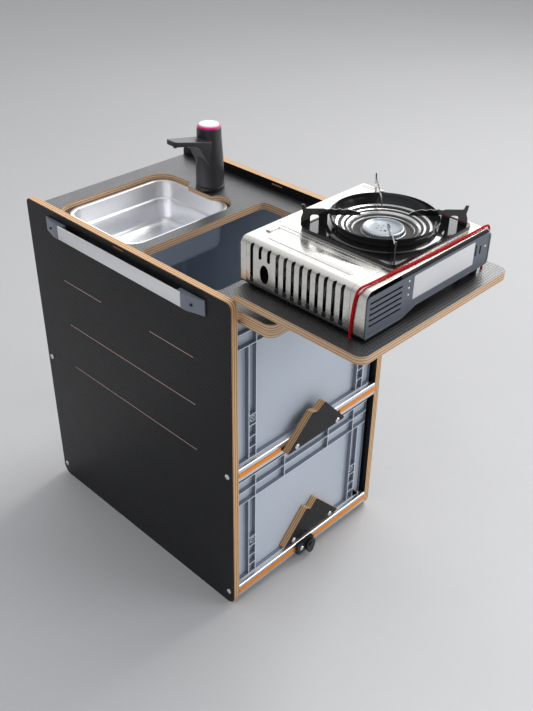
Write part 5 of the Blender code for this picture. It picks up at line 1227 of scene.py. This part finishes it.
# Profiles are (radius, height) round the burner. The arm's outline is (radius, height, corner).
tray = {
    "x": (0.130, 0.345), "y": (-0.224, -0.026), "z": (0.8303, 0.8383), "radius": 0.012,
    "rim": 0.004, "rimDeep": 0.0012, "rimRadius": 0.010, "over": 0.003, "hole": 0.087,
    "ring": ((0.0899, 0.8564), (0.0907, 0.857), (0.0915, 0.8564), (0.0903, 0.8500),
    (0.0857, 0.8420), (0.0835, 0.8365), (0.0803, 0.8365), (0.0823, 0.8420), (0.0885, 0.8500)),
    "step": ((0.0825, 0.8404), (0.0890, 0.8402), (0.0935, 0.8396), (0.0965, 0.8386),
    (0.0990, 0.8376), (0.0996, 0.8366), (0.0825, 0.8366)), "ease": 0.0004, "lipOut": 0.0004,
    "lipZ": (-0.0001, 0.0012), "lip": 0.002, "arms": 4, "arm": 0.0022,
    "armOutline": ( (0.1375, 0.8363, 0), (0.1375, 0.850, 0.006), (0.1345, 0.8595, 0.005),
    (0.1374, 0.8742, 0.0007), (0.1325, 0.8742, 0.0007), (0.1295, 0.8668, 0.003),
    (0.1010, 0.8670, 0.003), (0.0945, 0.8654, 0.002), (0.0885, 0.8670, 0.002),
    (0.0815, 0.8652, 0.002), (0.0750, 0.8668, 0.002), (0.0680, 0.8650, 0.002),
    (0.0600, 0.8662, 0.002), (0.0520, 0.8640, 0.003), (0.0450, 0.8620, 0.002),
    (0.0385, 0.8572, 0.0005), (0.0400, 0.8556, 0.0005), (0.0870, 0.8556, 0.001),
    (0.0885, 0.8577, 0.001), (0.0936, 0.8577, 0.001), (0.0936, 0.8363, 0), (0.1080, 0.8363, 0),
    (0.1080, 0.8560, 0.0045), (0.1220, 0.8560, 0.0045), (0.1220, 0.8363, 0))}


def makeTray():
    data = tray
    centre, over, half = burner["centre"], data["over"], data["arm"] / 2
    (x0, x1), (y0, y1), (low, high) = data["x"], data["y"], data["z"]
    plate = block(data["x"], data["y"], data["z"], data["radius"], "z", 8)
    rim = data["rim"]
    plate = carved(plate, block(
        (x0 + rim, x1 - rim), (y0 + rim, y1 - rim), (high - data["rimDeep"], high + over),
        data["rimRadius"], "z", 8))
    plate = carved(plate, disc(data["hole"], (low - over, high + over), centre, steps=96))
    shape = carved(plate, lathe(data["ring"], centre, steps=96, closed=True), "UNION")
    arms = [slab(data["armOutline"], (-half, half), "XZ", 4) for _ in range(data["arms"])]
    for arm in turnedCopies(arms, 0.5):
        shape = carved(shape, arm, "UNION")
    piece("dripTray", shape, "enamel", "drip_tray", ["drip_tray"], data["ease"])
    step = lathe(data["step"], centre, steps=96, closed=True)
    piece("ringStep", step, "enamel", "drip_tray")
    out, wall = data["lipOut"], data["lip"]
    lip = block((x0 - out, x1 + out), (y0 - out, y1 + out),
                [low + rise for rise in data["lipZ"]], data["radius"], "z", 8)
    lip = carved(lip, block((x0 + wall, x1 - wall), (y0 + wall, y1 - wall),
                            (low - stove["over"], low + over), data["radius"], "z", 8))
    piece("trayLip", lip, "burnerChrome", "drip_tray")


cartridge = {
    "foot": (0.0895, -0.200, 0.7853), "profile": ( (0, 0.180), (0.0105, 0.180), (0.013, 0.178),
    (0.013, 0.170), (0.020, 0.169), (0.027, 0.1665), (0.031, 0.163), (0.033, 0.158),
    (0.033, 0.004), (0.0325, 0.001), (0.031, 0), (0.029, 0.0015), (0, 0.003))}

makeSkin()
makeLid()
makeEndPanel()
makeControls()
makeBurner()
makeTray()
# The cartridge's near-black colour is painted shade for the stove's dark inside.
piece("gasCartridge", lathe(cartridge["profile"], cartridge["foot"], "Y", 48), "cartridgePaint",
      "stove_board", ["gas_cartridge"], sharp=40)
# The stove's inner body is near black: painted shade inside the stove.
piece("stoveInner", copied("stove_body"), "innerBlack", "stove_board",
      ["stove_body"], 0.0005)
feet = [lathe(stove["foot"], (x, y, board["z"][1]), steps=24) for x, y in stove["feet"]]
piece("stoveFeet", merged(*feet), "innerBlack", "stove_board",
      bevel=stove["footEase"])
print("stove ready")

# Floor and light
floorSize = 30
floorMesh = bpy.data.meshes.new("floor")
floorShape = bmesh.new()
bmesh.ops.create_grid(floorShape, x_segments=1, y_segments=1, size=floorSize)
floorShape.to_mesh(floorMesh)
floorShape.free()
floorMesh.materials.append(finishes["floorGrey"])
linked(bpy.data.objects.new("floor", floorMesh))

# The sky by height of the ray: plain all round, and a window band at the right-back side.
studio = {"plain": (
    (0.0, (0.62, 0.62, 0.63)), (0.12, (0.52, 0.525, 0.535)), (0.34, (0.27, 0.275, 0.29)),
    (0.55, (0.44, 0.445, 0.46)), (0.80, (0.80, 0.81, 0.83)), (1.0, (0.95, 0.96, 0.98))),
    "window": (
        (0.0, (0.62, 0.62, 0.63)), (0.10, (1.8, 1.8, 1.84)), (0.34, (2.4, 2.4, 2.45)),
        (0.40, (2.1, 2.1, 2.14)), (0.46, (1.45, 1.45, 1.48)), (0.60, (0.90, 0.91, 0.94)),
        (1.0, (0.95, 0.96, 0.98))),
    "windowSide": (0.8, 0.6), "windowEdge": ((0.35, (0, 0, 0)), (0.75, (1, 1, 1))),
    "aim": (0, 0, 0.5), "lamps": (  # name, place, size, watts, colour
        ("keyLight", (3.4, 0.3, 3.7), (2.3, 2.3), 136, (1.0, 0.99, 0.97)),
        ("frontFill", (2.3, -3.1, 2.1), (2.2, 1.8), 50, (0.97, 0.98, 1.0)))}


def makeSky():
    data = studio
    world = bpy.data.worlds.new("studio")
    world.use_nodes = True
    bpy.context.scene.world = world
    sky = Wire(world.node_tree)
    ray = split(sky.add("TexCoord"))
    alongX, alongY = data["windowSide"]
    side = ray[0] * alongX + ray[1] * alongY
    plain = side.add("ValToRGB", {"stops": data["plain"]}, {0: ray[2]})
    window = side.add("ValToRGB", {"stops": data["window"]}, {0: ray[2]})
    edge = side.add("ValToRGB", {"stops": data["windowEdge"]}, {0: side})
    background = world.node_tree.nodes["Background"]
    world.node_tree.links.new(mixed(edge, plain, window).socket, background.inputs["Color"])
    background.inputs["Strength"].default_value = 1.0


def makeLamps():
    for name, place, size, power, colour in studio["lamps"]:
        data = bpy.data.lights.new(name, "AREA")
        data.shape = "RECTANGLE"
        data.size, data.size_y = size
        data.energy = power
        data.color = colour
        lamp = linked(bpy.data.objects.new(name, data))
        lamp.location = place
        aim = Vector(studio["aim"]) - Vector(place)
        lamp.rotation_euler = aim.to_track_quat("-Z", "Y").to_euler()


makeSky()
makeLamps()
bpy.context.scene.view_settings.view_transform = "Standard"

print("all pieces ready")
